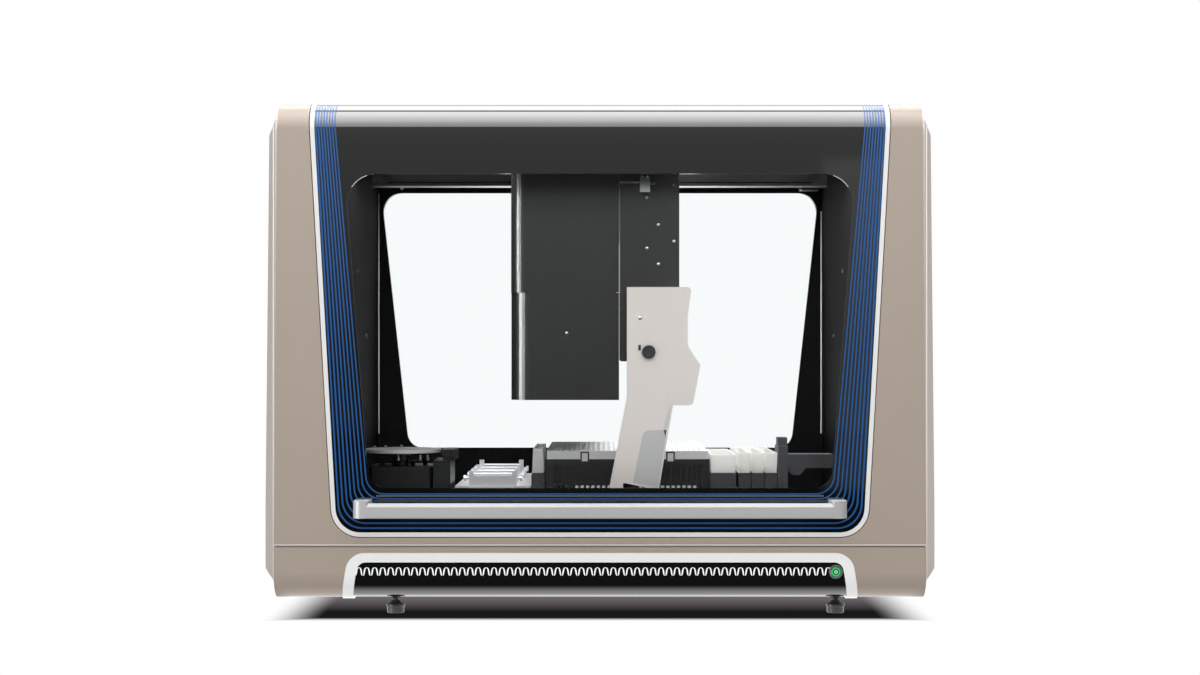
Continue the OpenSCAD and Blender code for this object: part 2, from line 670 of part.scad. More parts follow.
// A flanged timing pulley about +Z, its toothed land between two thin flanges.
module pulley(w, bore) difference() {
  union() {
    cylinder(h = 1, r = pulley_r + belt_t);
    translate([0, 0, w - 1]) cylinder(h = 1, r = pulley_r + belt_t);
    difference() {
      cylinder(h = w, r = pulley_r);
      for (i = [0 : teeth - 1]) rotate(i * 360 / teeth)
        translate([pulley_r - 0.6, -0.45, 1]) cube([2, 0.9, w - 2]);
    }
  }
  if (bore > 0) translate([0, 0, -1]) cylinder(h = w + 2, r = bore);
}
module x_drive_pulley() color(silver) {
  translate([pulley_x, x_pulley_y + pulley_w, x_belt_z]) rotate([90, 0, 0]) pulley(pulley_w, 0);
  rod_y(pulley_x, x_pulley_y + 1, beam_front + beam_d + 4, x_belt_z, 4);
}
module x_idler_pulley() color(silver) {
  translate([-pulley_x, x_pulley_y + pulley_w, x_belt_z]) rotate([90, 0, 0]) pulley(pulley_w, 0);
  rod_y(-pulley_x, x_pulley_y + 1, beam_front + beam_d - 6, x_belt_z, 4);
}
module motor(size, len, bore) difference() {
  linear_extrude(len) polygon(rounded(rect(-size / 2, -size / 2, size / 2, size / 2), [4, 4, 4, 4]));
  translate([0, 0, -1]) cylinder(h = 7, r = bore);
}
module x_motor() color(black)
  translate([pulley_x, beam_front + beam_d, x_belt_z]) rotate([-90, 0, 0]) motor(40, 38, 4 + running);

// ---- arm --------------------------------------------------------------------

arm_frame_x = arm_right - 17;
arm_frame_t = 14;
module x_carriage() color(silver) {
  plate_y = arm_rear;
  difference() {
    union() {
      block([arm_left + 26, plate_y, y_belt_z - 40], [arm_frame_x + arm_frame_t, plate_y + 6, x_rail_z + 14]);
      // two bearing blocks on the rail
      for (x = [arm_left + 28, arm_right - 55])
        block([x, plate_y + 6 - eps, x_rail_z - 14], [x + 48, beam_front - 2, x_rail_z + 14]);
      // belt clamp, below the lower run
      block([-80, plate_y + 6 - eps, x_belt_z - pulley_r - 9], [-40, beam_front - 4, x_belt_z - pulley_r - belt_t - free]);
    }
    translate([arm_left, beam_front, x_rail_z]) rotate([90, 0, 90]) linear_extrude(400)
      rotate(90) rail_channel();
  }
}
// The slot of a bearing block: the rail's own section with running room.
module rail_channel() offset(delta = free) rail_section(rail_w, rail_d);

module arm_frame() color(silver) difference() {
  union() {
    block([arm_frame_x, arm_front + cover_t, y_belt_z - 60], [arm_frame_x + arm_frame_t, arm_rear - cover_t, arm_top_z - 10]);
    // lug that carries the end plate
    block([arm_frame_x + arm_frame_t - eps, arm_front + cover_t, y_belt_z - 40], [arm_right + 0.5, arm_front + 22, arm_top_z - 18]);
    block([arm_right + 0.5 - eps, arm_front, y_belt_z - 40], [arm_right + 14, arm_front + 22, arm_top_z - 18]);
  }
  // pockets that lighten the plate
  for (i = [0 : 2]) along_x(arm_frame_x - 1, arm_frame_x + arm_frame_t + 1)
    polygon(rounded(rect(arm_front + 60 + i * 130, y_belt_z - 50, arm_front + 160 + i * 130, y_belt_z - 18),
                    [10, 10, 10, 10]));
  for (y = [y_pulley_front, y_pulley_rear]) rod_x(arm_frame_x - 1, arm_right + 2, y, y_belt_z, 4 + running);
}
y_pulley_front = arm_front + 42;
y_pulley_rear = arm_rear - 20;

// A cover in plan: front, left and rear walls, with round corners on the left.
module cover_plan(r, t) difference() {
  polygon(rounded([[arm_left, arm_front], [arm_right, arm_front], [arm_right, arm_rear], [arm_left, arm_rear]],
                  [r, 0, 0, r]));
  polygon(rounded([[arm_left + t, arm_front + t], [arm_right + 1, arm_front + t], [arm_right + 1, arm_rear - t],
                   [arm_left + t, arm_rear - t]], [r - t, 0, 0, r - t]));
}
module cover_lid(r) polygon(rounded([[arm_left, arm_front], [arm_right, arm_front], [arm_right, arm_rear],
                                     [arm_left, arm_rear]], [r, 0, 0, r]));
module arm_cover_upper() color(dark) {
  translate([0, 0, arm_split_z + 0.5]) linear_extrude(arm_top_z - arm_split_z - 0.5) cover_plan(arm_round_up, cover_t);
  translate([0, 0, arm_top_z - cover_t]) linear_extrude(cover_t) cover_lid(arm_round_up);
}
module arm_cover_lower() color(dark) {
  translate([0, 0, arm_low_z]) linear_extrude(arm_split_z - arm_low_z) cover_plan(arm_round_low, cover_t);
  translate([0, 0, arm_low_z]) linear_extrude(cover_t) cover_lid(arm_round_low);
  // inner wall that closes the right side below the frame
  block([arm_right - cover_t, arm_front + cover_t - eps, arm_low_z], [arm_right, arm_rear - cover_t + eps, arm_split_z]);
}
end_right = 129;
end_low = arm_split_z - 112;
module arm_end_plate() color(dark)
  along_y(arm_front - end_plate_t, arm_front)
    polygon(rounded(rect(arm_right + 0.5, end_low, end_right, arm_top_z - 4), [4, 4, 8, 0]));

// ---- head cover -------------------------------------------------------------

cover_top = arm_split_z + 8;
cover_left = 43.6;
cover_bend_z = cover_top - 179;
leg_low = deck_z + 36;
function head_outline(inset) = rounded(
  [[cover_left + inset, cover_top - inset], [148 - inset, cover_top - inset], [141 - inset, cover_top - 53],
   [118 - inset, cover_top - 191], [95 - inset, leg_low + 10 + inset], [86, leg_low + 12 + inset],
   [37, leg_low + 22 + inset], [37, leg_low + inset], [12.5 + inset, leg_low + inset],
   [cover_left + inset, cover_bend_z]],
  [0, 6, 20, 20, 3, 2, 2, 2, 2, 8]);
module head_cover() color([0.85, 0.82, 0.81]) difference() {
  along_y(head_front, arm_front - end_plate_t) polygon(head_outline(0));
  along_y(head_front + cover_t, arm_front) intersection() {
    polygon(head_outline(cover_t));
    translate([-100, 0]) square([400, cover_top + 100]);
  }
  rod_y(knob_x, head_front - 1, head_front + 5, knob_z, 6 + running);
}
knob_x = 78.6;
knob_z = cover_top - 105;
knob_r = 11;
module lock_knob() color(black) {
  difference() {
    rod_y(knob_x, head_front - 7, head_front - free, knob_z, knob_r);
    // finger dimple
    rod_y(knob_x, head_front - 8, head_front - 6, knob_z, knob_r - 3);
  }
  rod_y(knob_x, head_front - free - eps, head_front + 12, knob_z, 6);
  // cam that grips behind the cover
  block([knob_x - 4, head_front + cover_t + free, knob_z], [knob_x + 4, head_front + 8, knob_z + 16]);
}
// The raised side shell of the head cover, with its bulge to the right.
module head_side_cover() color([0.85, 0.82, 0.81]) {
  low = cover_top - 191;
  outline = rounded([[132, low + 143], [141.5, low + 143], [141.5, low + 96], [162, low + 65], [150, low], [106, low]],
                    [3, 2, 20, 6, 8, 3]);
  along_y(head_front - 2.5, head_front) polygon(outline);
  // the bulge's own skirt, beside the main cover
  difference() {
    along_y(head_front, arm_front - end_plate_t)
      polygon(rounded([[142, low + 96], [162, low + 65], [150, low], [119.5, low]], [0, 6, 8, 0]));
    along_y(head_front + cover_t, arm_front)
      polygon(rounded([[140, low + 94], [160, low + 64.4], [148.4, low + 2], [120, low + 2]], [0, 4, 6, 0]));
    along_y(head_front - 1, arm_front) polygon(head_outline(-free));
  }
}
module home_sensor() {
  sensor_x = 73;
  sensor_z = y_rail_z;
  y = arm_front - end_plate_t;
  color(silver) {
    block([sensor_x - 8, y - 16, sensor_z - 12], [sensor_x + 8, y, sensor_z + 12]);
    rod_x(sensor_x - 40, sensor_x - 8 + eps, y - 9, sensor_z + 5, 2);
    rod_x(sensor_x + 8 - eps, sensor_x + 16, y - 9, sensor_z + 3, 3);
    for (x = [-4.5, 4.5]) rod_z(sensor_x + x, y - 8, sensor_z + 12 - eps, sensor_z + 15, 1.6);
  }
}

// ---- Y and Z axes -----------------------------------------------------------

rail_start = arm_front + 26;
module y_rail() color(silver)
  translate([arm_frame_x + arm_frame_t, rail_start, y_rail_z]) rotate([-90, 0, 0])
    linear_extrude(arm_rear - rail_start - 2) rotate(-90) rail_section(rail_w, rail_d);
y_pulley_x = arm_right - 1;
module y_belt() color(black)
  along_x(y_pulley_x + 1.2, y_pulley_x + pulley_w - 1.2)
    translate([y_pulley_front, y_belt_z]) belt_loop(y_pulley_rear - y_pulley_front);
module y_drive_pulley() color(silver) {
  translate([y_pulley_x, y_pulley_rear, y_belt_z]) rotate([0, 90, 0]) pulley(pulley_w, 0);
  rod_x(arm_frame_x - 4, y_pulley_x + 1, y_pulley_rear, y_belt_z, 4);
}
module y_idler_pulley() color(silver) {
  translate([y_pulley_x, y_pulley_front, y_belt_z]) rotate([0, 90, 0]) pulley(pulley_w, 0);
  rod_x(arm_frame_x + 2, y_pulley_x + 1, y_pulley_front, y_belt_z, 4);
}
module y_motor() color(black)
  translate([arm_frame_x, y_pulley_rear, y_belt_z]) rotate([0, -90, 0]) motor(34, 42, 4 + running);

plate_x = carriage_x;                    // the Y carriage's upright plate
head_depth = channels * channel_pitch - 2;
screw_top = arm_top_z - 40;
screw_low = arm_split_z - 78;
z_block_low = arm_top_z - 198;
z_block_high = z_block_low + 40;
z_rail_ys = [carriage_y - head_depth / 2 + 12, carriage_y + head_depth / 2 - 12];
module y_carriage() color(silver) difference() {
  union() {
    block([plate_x, carriage_y - head_depth / 2, screw_low - 6], [plate_x + 6, carriage_y + head_depth / 2, arm_top_z - 14]);
    // bearing block on the Y rail
    block([arm_right - 1, carriage_y - 14, y_rail_z - 14], [plate_x + eps, carriage_y + 26, y_rail_z + 14]);
    // belt clamp, above the upper run
    block([arm_right + 1, carriage_y - 14, y_belt_z + pulley_r + belt_t + free], [plate_x + eps, carriage_y + 14, y_belt_z + pulley_r + 10]);
    // screw brackets
    for (z = [screw_low, screw_top]) block([plate_x, carriage_y - 12, z - 6], [screw_x + 11, carriage_y + 12, z]);
    // guide rails for the Z slide
    for (y = z_rail_ys) block([plate_x + 6 - eps, y - 4, screw_low + 4], [plate_x + 13, y + 4, screw_top - 10]);
  }
  for (z = [screw_low, screw_top]) rod_z(screw_x, carriage_y, z - 8, z + 2, screw_r + running);
  translate([arm_frame_x + arm_frame_t, rail_start - 10, y_rail_z]) rotate([-90, 0, 0])
    linear_extrude(600) rotate(-90) rail_channel();
}
module z_motor() color(black)
  translate([screw_x, carriage_y, screw_top]) motor(24, 30, screw_r + running);
module z_screw() color(silver) {
  rod_z(screw_x, carriage_y, screw_low - 8, screw_top + 5, screw_r);
  // thrust collar above the lower bracket
  rod_z(screw_x, carriage_y, screw_low + free, screw_low + 4, screw_r + 2.5);
}
module z_carriage() color(silver) difference() {
  union() {
    block([plate_x + 13 + free, carriage_y - head_depth / 2, z_block_low], [barrel_x + 10, carriage_y + head_depth / 2, z_block_high]);
    block([plate_x + 8, carriage_y - 12, z_block_low], [plate_x + 13 + free + eps, carriage_y + 12, z_block_high]);
    // guide shoes either side of the rails
    for (y = z_rail_ys, s = [-1, 1])
      translate([plate_x + 8, y + s * (6 + free) - 2, z_block_low]) cube([5 + free + eps, 4, z_block_high - z_block_low]);
  }
  rod_z(screw_x, carriage_y, z_block_low - 1, z_block_high + 1, screw_r + running);
  for (i = [0 : channels - 1])
    rod_z(barrel_x, channel_y + i * channel_pitch, z_block_low - 1, z_block_high + 1, barrel_r);
}
// Air displacement barrels, each with a shoulder, a slimmer nose and a tip cone.
module pipette_barrels() color(white) for (i = [0 : channels - 1])
  translate([barrel_x, channel_y + i * channel_pitch, 0]) rotate_extrude()
    polygon([[0, nose_z], [2, nose_z], [2.9, nose_z + 14], [3.4, nose_z + 14], [3.4, nose_z + 60],
             [5, nose_z + 66], [5, nose_z + 150], [barrel_r, nose_z + 156], [barrel_r, z_block_high + 30],
             [barrel_r - 2, z_block_high + 34], [0, z_block_high + 34]]);

// ---- services ---------------------------------------------------------------

// An appliance inlet on the service band: a body round a deep socket, with its flange on the tray's wall.
module power_inlet() {
  out = y_rear + inlet_flange;
  color(black) difference() {
    union() {
      block([inlet_x - inlet_w / 2, tray_rear, inlet_z - inlet_h / 2], [inlet_x + inlet_w / 2, out, inlet_z + inlet_h / 2]);
      block([inlet_x - inlet_w / 2 - 10, tray_rear, inlet_z - inlet_h / 2 - 4],
            [inlet_x + inlet_w / 2 + 10, tray_rear + 2, inlet_z + inlet_h / 2 + 4]);
    }
    along_y(tray_rear + 3, out + 1)
      polygon(rounded([[inlet_x - 12, inlet_z - 8], [inlet_x + 12, inlet_z - 8], [inlet_x + 12, inlet_z + 4],
                       [inlet_x + 8, inlet_z + 8], [inlet_x - 8, inlet_z + 8], [inlet_x - 12, inlet_z + 4]],
                      [1, 1, 1, 1, 1, 1]));
  }
  color(silver) for (p = [[-7, -3], [7, -3], [0, 3]])
    block([inlet_x + p.x - 1, tray_rear + 3 - eps, inlet_z + p.y - 2], [inlet_x + p.x + 1, y_rear - 4, inlet_z + p.y + 2]);
}

supply = [210, 250, 50];
board = [220, 220, 2];
tray_room = 80;                      // from a side frame to the supply and to the board
supply_y = 40;
module power_supply() color(silver)
  translate([-frame_half + tray_room, supply_y, tray_z + plate_t]) cube(supply);
module control_board() translate([frame_half - tray_room - board.x, supply_y, tray_z + plate_t]) {
  color([0.1, 0.35, 0.2]) translate([0, 0, 10]) cube(board);
  color(silver) for (x = [10, board.x - 10], y = [10, board.y - 10]) rod_z(x, y, 0, 10, 4);
  color(black) for (i = [0 : 4]) translate([25 + i * 36, 50, 10 + board.z - eps]) cube([20, 40, 5]);
}

// ---- deck load --------------------------------------------------------------

side_room = 36;                      // from the chamber wall to the turntable
load_gap = 1.5;                      // between neighbours on the deck
table_x = -chamber_half + side_room + disc_r;
table_y = load_y + disc_r + 8;
house_top = disc_z - 22;
stand_x = table_x + disc_r + 2;
stand_w = 26;
carrier_x = stand_x + stand_w + load_gap + base_w / 2;
container_w = 22;
container_x = carrier_x + (base_w + container_w) / 2 + load_gap;
carrier_w = rack_w + 4;
carrier_gap = 12;
tip_x1 = container_x + (container_w + carrier_w) / 2 + load_gap;
wide_w = 43;
pillar_w = 16;
chute_reach = 86;                    // of the waste arm, to the right of the pillar's middle
pillar_x = chamber_half - side_room - 8 - chute_reach;
// as many rows of tip racks as the space before the waste pillar takes
tip_room = pillar_x - pillar_w / 2 - (tip_x1 - carrier_w / 2) - wide_w - 2;
tip_rows = max(1, floor((tip_room + carrier_gap) / (carrier_w + carrier_gap)));
tip_xs = [for (i = [0 : tip_rows - 1]) tip_x1 + i * (carrier_w + carrier_gap)];
wide_x = tip_xs[tip_rows - 1] + (carrier_w + wide_w) / 2 + 1;
// as many narrow troughs as the space before the waste pillar takes
narrow_count = floor((pillar_x - pillar_w / 2 - wide_x - wide_w / 2 - 1) / track_pitch);
narrow_start = pillar_x - pillar_w / 2 - narrow_count * track_pitch;

module turntable_housing() color(dark) {
  difference() {
    union() {
      translate([0, 0, deck_z]) linear_extrude(house_top - deck_z)
        polygon(rounded(rect(table_x - 54, table_y - 54, table_x + 54, table_y + 54), [8, 8, 8, 8]));
      rod_z(table_x, table_y, house_top - eps, house_top + 8, 20);
      // clamp studs round the hub
      for (a = [20 : 90 : 359]) rotate_about(table_x, table_y, a)
        rod_z(table_x + 38, table_y, house_top - eps, house_top + 14, 4);
    }
    rod_z(table_x, table_y, house_top - 30, disc_z, 6 + running);
  }
  // stand beside the turntable, in two steps
  block([stand_x - 10, load_y + 12, deck_z], [stand_x + stand_w - 7, load_y + 110, disc_z - 11]);
  block([stand_x + 6, load_y + 16, disc_z - 11 - eps], [stand_x + stand_w, load_y + 104, disc_z - 2]);
  block([stand_x + 3, load_y + 20, disc_z - 2 - eps], [stand_x + stand_w, load_y + 100, disc_z + 7]);
}
module turntable_disc() color(silver) {
  translate([table_x, table_y, disc_z]) rotate_extrude()
    polygon([[0, 0], [disc_r - 1, 0], [disc_r, 1], [disc_r, 5], [disc_r - 1, 6], [0, 6]]);
  rod_z(table_x, table_y, house_top + 8 + free, disc_z + eps, 12);
  rod_z(table_x, table_y, house_top - 28, house_top + 9, 6);
  // stop pins on the rim
  for (a = [100 : 30 : 160]) rotate_about(table_x, table_y, a)
    rod_z(table_x + disc_r - 8, table_y, disc_z + 6 - eps, disc_z + 10, 2.5);
}
module rotate_about(x, y, a) { translate([x, y, 0]) rotate(a) translate([-x, -y, 0]) children(); }

// Four nests between pairs of clear uprights on a long base, with a clamp screw at each.
nest_pitch = load_depth / 4 + 2.5;
base_h = 45;
base_top = deck_z + base_h;
upright_top = base_top + 29;
module plate_carrier() color([0.8, 0.85, 0.88]) {
  block([carrier_x - base_w / 2, load_y, deck_z], [carrier_x + base_w / 2, rear_load_y, base_top]);
  for (i = [0 : 3]) translate([0, load_y + 2 + i * nest_pitch, 0]) {
    for (s = [-1, 1]) {
      x = carrier_x + s * upright_gap / 2;
      translate([x - 4, 0, base_top - eps]) cube([8, 8, upright_top - base_top - (i == 3 ? 0 : 4)]);
      // screw from the outside, with its head
      rod_x(x + (s < 0 ? -9 : 4 - eps), x + (s < 0 ? -4 + eps : 9), 4, base_top + 13, 2.5);
      rod_x(x + (s < 0 ? -13 : 9 - eps), x + (s < 0 ? -9 + eps : 13), 4, base_top + 13, 5);
    }
    rod_x(carrier_x - upright_gap / 2 + 4 - eps, carrier_x + upright_gap / 2 - 4 + eps, 4, upright_top - 9, 2);
    // stop bar at the foot of the nest
    translate([carrier_x - upright_gap / 2 + 4 - eps, 0, base_top - eps]) cube([upright_gap - 8 + 2 * eps, 6, 17]);
  }
}

carrier_top = rack_top_z - 14;
module tip_carriers() color(black) for (x = tip_xs) difference() {
  block([x - carrier_w / 2, load_y, deck_z], [x + carrier_w / 2, rear_load_y, carrier_top]);
  // well below each rack
  for (i = [0 : racks - 1])
    translate([x - rack_w / 2 + 8, load_y + i * rack_pitch + 8, deck_z + 6]) cube([rack_w - 16, rack_d - 16, 200]);
  // comb of grooves in the front face, with a window below each that shows the end of its tip
  for (c = [0 : 11]) translate([x + (c - 5.5) * tip_pitch, load_y - 1, deck_z]) {
    translate([-2, 0, 52]) cube([4, 4, carrier_top - deck_z - 62]);
    translate([-3, 0, 28]) cube([6, 10, 18]);
  }
}
module tip_racks() color(white) for (x = tip_xs, i = [0 : racks - 1])
  translate([x, load_y + i * rack_pitch + rack_d / 2, carrier_top]) difference() {
    linear_extrude(rack_top_z - carrier_top)
      polygon(rounded(rect(-rack_w / 2, -rack_d / 2, rack_w / 2, rack_d / 2), [4, 4, 4, 4]));
    translate([-rack_w / 2 + 2, -rack_d / 2 + 2, -1]) cube([rack_w - 4, rack_d - 4, rack_top_z - carrier_top - 2]);
    for (c = [0 : 11], r = [0 : 7])
      translate([(c - 5.5) * tip_pitch, (r - 3.5) * tip_pitch, 0]) cylinder(h = 20, r = tip_hole_r);
  }

// An open trough that stands at x on a dark foot. Its walls lean by `lean` from foot to rim.
trough_base = deck_z + 66;
trough_wall = 2;
container_len = 180;
wide_len = 200;
narrow_len = 220;
module trough(x, w, low, high, len, lean) difference() {
  along_y(load_y, load_y + len) polygon([[x - w / 2, low], [x + w / 2, low], [x + w / 2 + lean, high], [x - w / 2 - lean, high]]);
  along_y(load_y + trough_wall + 1, load_y + len - trough_wall - 1) polygon(
    [[x - w / 2 + trough_wall, low + 4], [x + w / 2 - trough_wall, low + 4],
     [x + w / 2 + lean - trough_wall, high + 1], [x - w / 2 - lean + trough_wall, high + 1]]);
}
module trough_foot(x, w, high, len) along_y(load_y, load_y + len)
  polygon(rounded([[x - w / 2, deck_z], [x + w / 2, deck_z], [x + w / 2, high], [x - w / 2, high]], [0, 0, 3, 3]));
narrow_xs = [for (i = [0 : 1 : narrow_count - 1]) narrow_start + (i + 0.5) * track_pitch];
module reagent_troughs() {
  color(white) {
    trough(container_x, container_w - 2, trough_base, rack_top_z + 4, container_len, -2);
    trough(wide_x, wide_w - 2, trough_base, rack_top_z - 6, wide_len, 0.5);
    for (x = narrow_xs) trough(x, track_pitch - 6, trough_base + 2, rack_top_z - 4, narrow_len, 1.5);
  }
  color(dark) {
    trough_foot(container_x, container_w, trough_base, container_len);
    trough_foot(wide_x, wide_w, trough_base, wide_len);
    for (x = narrow_xs) trough_foot(x, track_pitch - 1.5, trough_base + 2, narrow_len);
  }
}
// A pillar that carries a curved arm out to the right.
chute_z = disc_z;
pillar_d = 60;
module waste_chute() color(dark) {
  edge = pillar_x + pillar_w / 2;
  tip = pillar_x + chute_reach;
  block([pillar_x - pillar_w / 2, load_y, deck_z], [edge, load_y + pillar_d, chute_z + 14]);
  block([pillar_x - pillar_w / 2, load_y + 8, chute_z + 14 - eps], [edge, load_y + pillar_d - 20, chute_z + 28]);
  along_y(load_y + 4, load_y + 44) polygon(rounded(
    [[edge - 2, chute_z], [tip, chute_z], [tip, chute_z - 23], [edge + 30, chute_z - 23],
     [edge + 22, chute_z - 35], [edge + 8, chute_z - 35], [edge - 2, chute_z - 22]], [0, 3, 3, 8, 10, 8, 0]));
}

// ---- the nodes --------------------------------------------------------------

base_tray();
deck_plate();
side_frames();
hinge_cross_beam();
inner_walls();
rear_wall();
rear_window();
rear_cover();
top_cover();
front_surround();
side_cover_left();
side_cover_right();
base_fascia();
light_panel_trim();
light_panel();
button_bezel();
power_button();
levelling_feet();
door_frame();
door_panel();
door_window();
door_handle();
door_hinge_leaves();
body_hinge_leaves();
hinge_pins();
x_beam();
x_rail();
x_belt();
x_motor();
x_drive_pulley();
x_idler_pulley();
x_carriage();
arm_frame();
arm_cover_upper();
arm_cover_lower();
arm_end_plate();
head_cover();
head_side_cover();
lock_knob();
home_sensor();
y_rail();
y_belt();
y_motor();
y_drive_pulley();
y_idler_pulley();
y_carriage();
z_motor();
z_screw();
z_carriage();
pipette_barrels();
power_inlet();
power_supply();
control_board();
turntable_housing();
turntable_disc();
plate_carrier();
tip_carriers();
tip_racks();
reagent_troughs();
waste_chute();
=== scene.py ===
# %% [markdown]
# # A bench liquid handling robot
# The real machine is a closed cabinet with a lifting front, a deck of racks and troughs, and an arm
# that carries pipettes over them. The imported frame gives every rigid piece, already in its place.
# This lesson gives those pieces their materials and adds what is printed, lit or screwed on: pin
# stripes, a zigzag light line, screws, tips and labels. Keeping the two apart means that no finish
# can move a part.

# %% Load the frame
import json
import math

import bmesh
import bpy
from mathutils import Matrix, Vector


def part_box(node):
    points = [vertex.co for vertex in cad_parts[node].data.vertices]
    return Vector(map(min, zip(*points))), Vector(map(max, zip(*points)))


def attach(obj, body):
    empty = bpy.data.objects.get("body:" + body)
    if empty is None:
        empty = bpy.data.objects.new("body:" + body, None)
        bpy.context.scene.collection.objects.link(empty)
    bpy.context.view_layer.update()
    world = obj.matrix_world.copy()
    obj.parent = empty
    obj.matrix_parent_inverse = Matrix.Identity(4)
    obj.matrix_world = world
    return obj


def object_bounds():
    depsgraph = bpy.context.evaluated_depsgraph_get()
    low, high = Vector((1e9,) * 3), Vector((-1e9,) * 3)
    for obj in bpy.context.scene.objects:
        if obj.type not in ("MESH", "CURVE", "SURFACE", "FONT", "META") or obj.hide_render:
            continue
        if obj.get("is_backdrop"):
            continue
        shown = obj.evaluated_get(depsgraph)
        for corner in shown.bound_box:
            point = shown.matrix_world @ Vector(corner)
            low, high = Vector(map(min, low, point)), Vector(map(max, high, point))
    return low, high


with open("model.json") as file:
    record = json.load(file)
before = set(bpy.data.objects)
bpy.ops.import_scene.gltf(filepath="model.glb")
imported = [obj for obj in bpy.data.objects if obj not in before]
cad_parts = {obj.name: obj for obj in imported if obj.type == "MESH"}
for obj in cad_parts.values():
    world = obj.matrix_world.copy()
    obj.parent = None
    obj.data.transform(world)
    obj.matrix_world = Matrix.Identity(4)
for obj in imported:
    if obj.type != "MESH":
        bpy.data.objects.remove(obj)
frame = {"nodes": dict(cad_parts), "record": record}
nodes = frame["nodes"]
MM = 0.001

# %% [markdown]
# ## Places
# Stripes, screws and labels lie on faces that the frame owns. They could be typed as numbers, but a
# box read from the frame stays right when the frame is packed again, so the faces are read here.

# %% Faces that the dressing lies on
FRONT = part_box("door_panel")[0][1]          # face of the door
BEND = 0.0395                               # radius of the bend along the door's top edge
PANEL_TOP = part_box("door_panel")[1][2]
DOOR_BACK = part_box("door_panel")[1][1]
LOW, HIGH = (Vector(corner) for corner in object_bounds())
END_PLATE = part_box("arm_end_plate")[0][1]
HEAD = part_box("head_cover")[0][1]
PRINT = 0.0001                              # how far a printed or stuck film stands off its face
print("door face y", round(FRONT, 4), "top z", round(PANEL_TOP, 4), "door back", round(DOOR_BACK, 4))


# %% [markdown]
# ## Nodes and colours
# A material is a small tree of nodes. Each node could be made by hand in four lines, but one helper
# that adds a node and fills its sockets keeps every tree short. A second helper turns the hex codes
# that paint makers give into the linear values that a shader takes.

# %% Helpers for colours and nodes
def colour(code):
    """An sRGB hex code as the linear colour that a shader takes."""
    parts = [int(code[i:i + 2], 16) / 255 for i in (1, 3, 5)]
    return [c / 12.92 if c <= 0.04045 else ((c + 0.055) / 1.055) ** 2.4 for c in parts] + [1.0]


def shade(tree, kind, settings=None, **sockets):
    """Adds a node. A socket is given by its name with _ for spaces, or as i0, i1 for its place."""
    made = tree.nodes.new(kind)
    for key, value in (settings or {}).items():
        setattr(made, key, value)
    for key, value in sockets.items():
        by_place = key[0] == "i" and key[1:].isdigit()
        socket = made.inputs[int(key[1:]) if by_place else key.replace("_", " ")]
        if isinstance(value, bpy.types.NodeSocket):
            tree.links.new(value, socket)
        else:
            socket.default_value = value
    return made


def blank(name):
    """A material with only its output node."""
    made = bpy.data.materials.new(name)
    made.use_nodes = True
    made.node_tree.nodes.clear()
    return made, made.node_tree, made.node_tree.nodes.new("ShaderNodeOutputMaterial")


def object_place(tree):
    """Where a point lies on its piece, in metres, so that a pattern keeps its real size."""
    return shade(tree, "ShaderNodeTexCoord").outputs["Object"]


print("white is", [round(c, 3) for c in colour("#ffffff")], "in linear values")


# %% [markdown]
# ## Colour drift and grain
# No paint or moulding is one flat colour: its tone drifts by a hundredth or two over a hand's width,
# and its skin has a grain under a millimetre. An image could hold both, but two noises in real
# millimetres need no file and fit every size of piece. The grain keeps its real size of about half
# a millimetre. In a view of the whole machine that is finer than a pixel and only softens the
# highlights; it shows in a close view.

# %% Drift and grain
DRIFT_PER_METRE = 14.0                      # clouds about 70 mm across
GRAIN_HEIGHT = 0.0002


def clouded(tree, place, code, amount):
    """A colour that drifts a little over the piece, as paint and mouldings do."""
    base = colour(code)[:3]
    cloud = shade(tree, "ShaderNodeTexNoise", Vector=place, Scale=DRIFT_PER_METRE, Detail=3.0)
    darker = [c * (1 - amount) for c in base] + [1]
    lighter = [min(c * (1 + amount), 1) for c in base] + [1]
    drift = shade(tree, "ShaderNodeMixRGB", Fac=cloud.outputs["Fac"], Color1=darker, Color2=lighter)
    return drift.outputs["Color"]


def grained(tree, place, skin, depth, size_mm):
    """A fine grain on a shader, as bump."""
    speck = shade(tree, "ShaderNodeTexNoise", Vector=place, Scale=1 / (size_mm * MM), Detail=2.0)
    bump = shade(tree, "ShaderNodeBump", Strength=depth, Distance=GRAIN_HEIGHT, Height=speck.outputs["Fac"])
    tree.links.new(bump.outputs["Normal"], skin.inputs["Normal"])


print("drift every", round(1000 / DRIFT_PER_METRE), "mm, grain", GRAIN_HEIGHT / MM, "mm high")


# %% [markdown]
# ## Opaque finishes
# Paint, plastic and metal all fit one Principled shader: roughness says how the surface was made,
# metallic says what it is made of. One helper makes them all, so that two finishes differ only in
# the numbers that the eye can tell apart. A full metal keeps the shader's own IOR.

# %% Paint, plastic and metal
def finish_as(name, code, rough, metal=0.0, grain=0.03, grain_mm=0.6, mottle=0.015, ior=1.45,
              shine=0.5):
    """A painted, moulded or metal finish: a drifting base colour and a fine grain."""
    made, tree, out = blank(name)
    place = object_place(tree)
    skin = shade(tree, "ShaderNodeBsdfPrincipled", Base_Color=clouded(tree, place, code, mottle),
                 Roughness=rough, Metallic=metal, Specular_IOR_Level=shine)
    if metal < 1:
        skin.inputs["IOR"].default_value = ior
    if grain:
        grained(tree, place, skin, grain, grain_mm)
    tree.links.new(skin.outputs["BSDF"], out.inputs["Surface"])
    return made


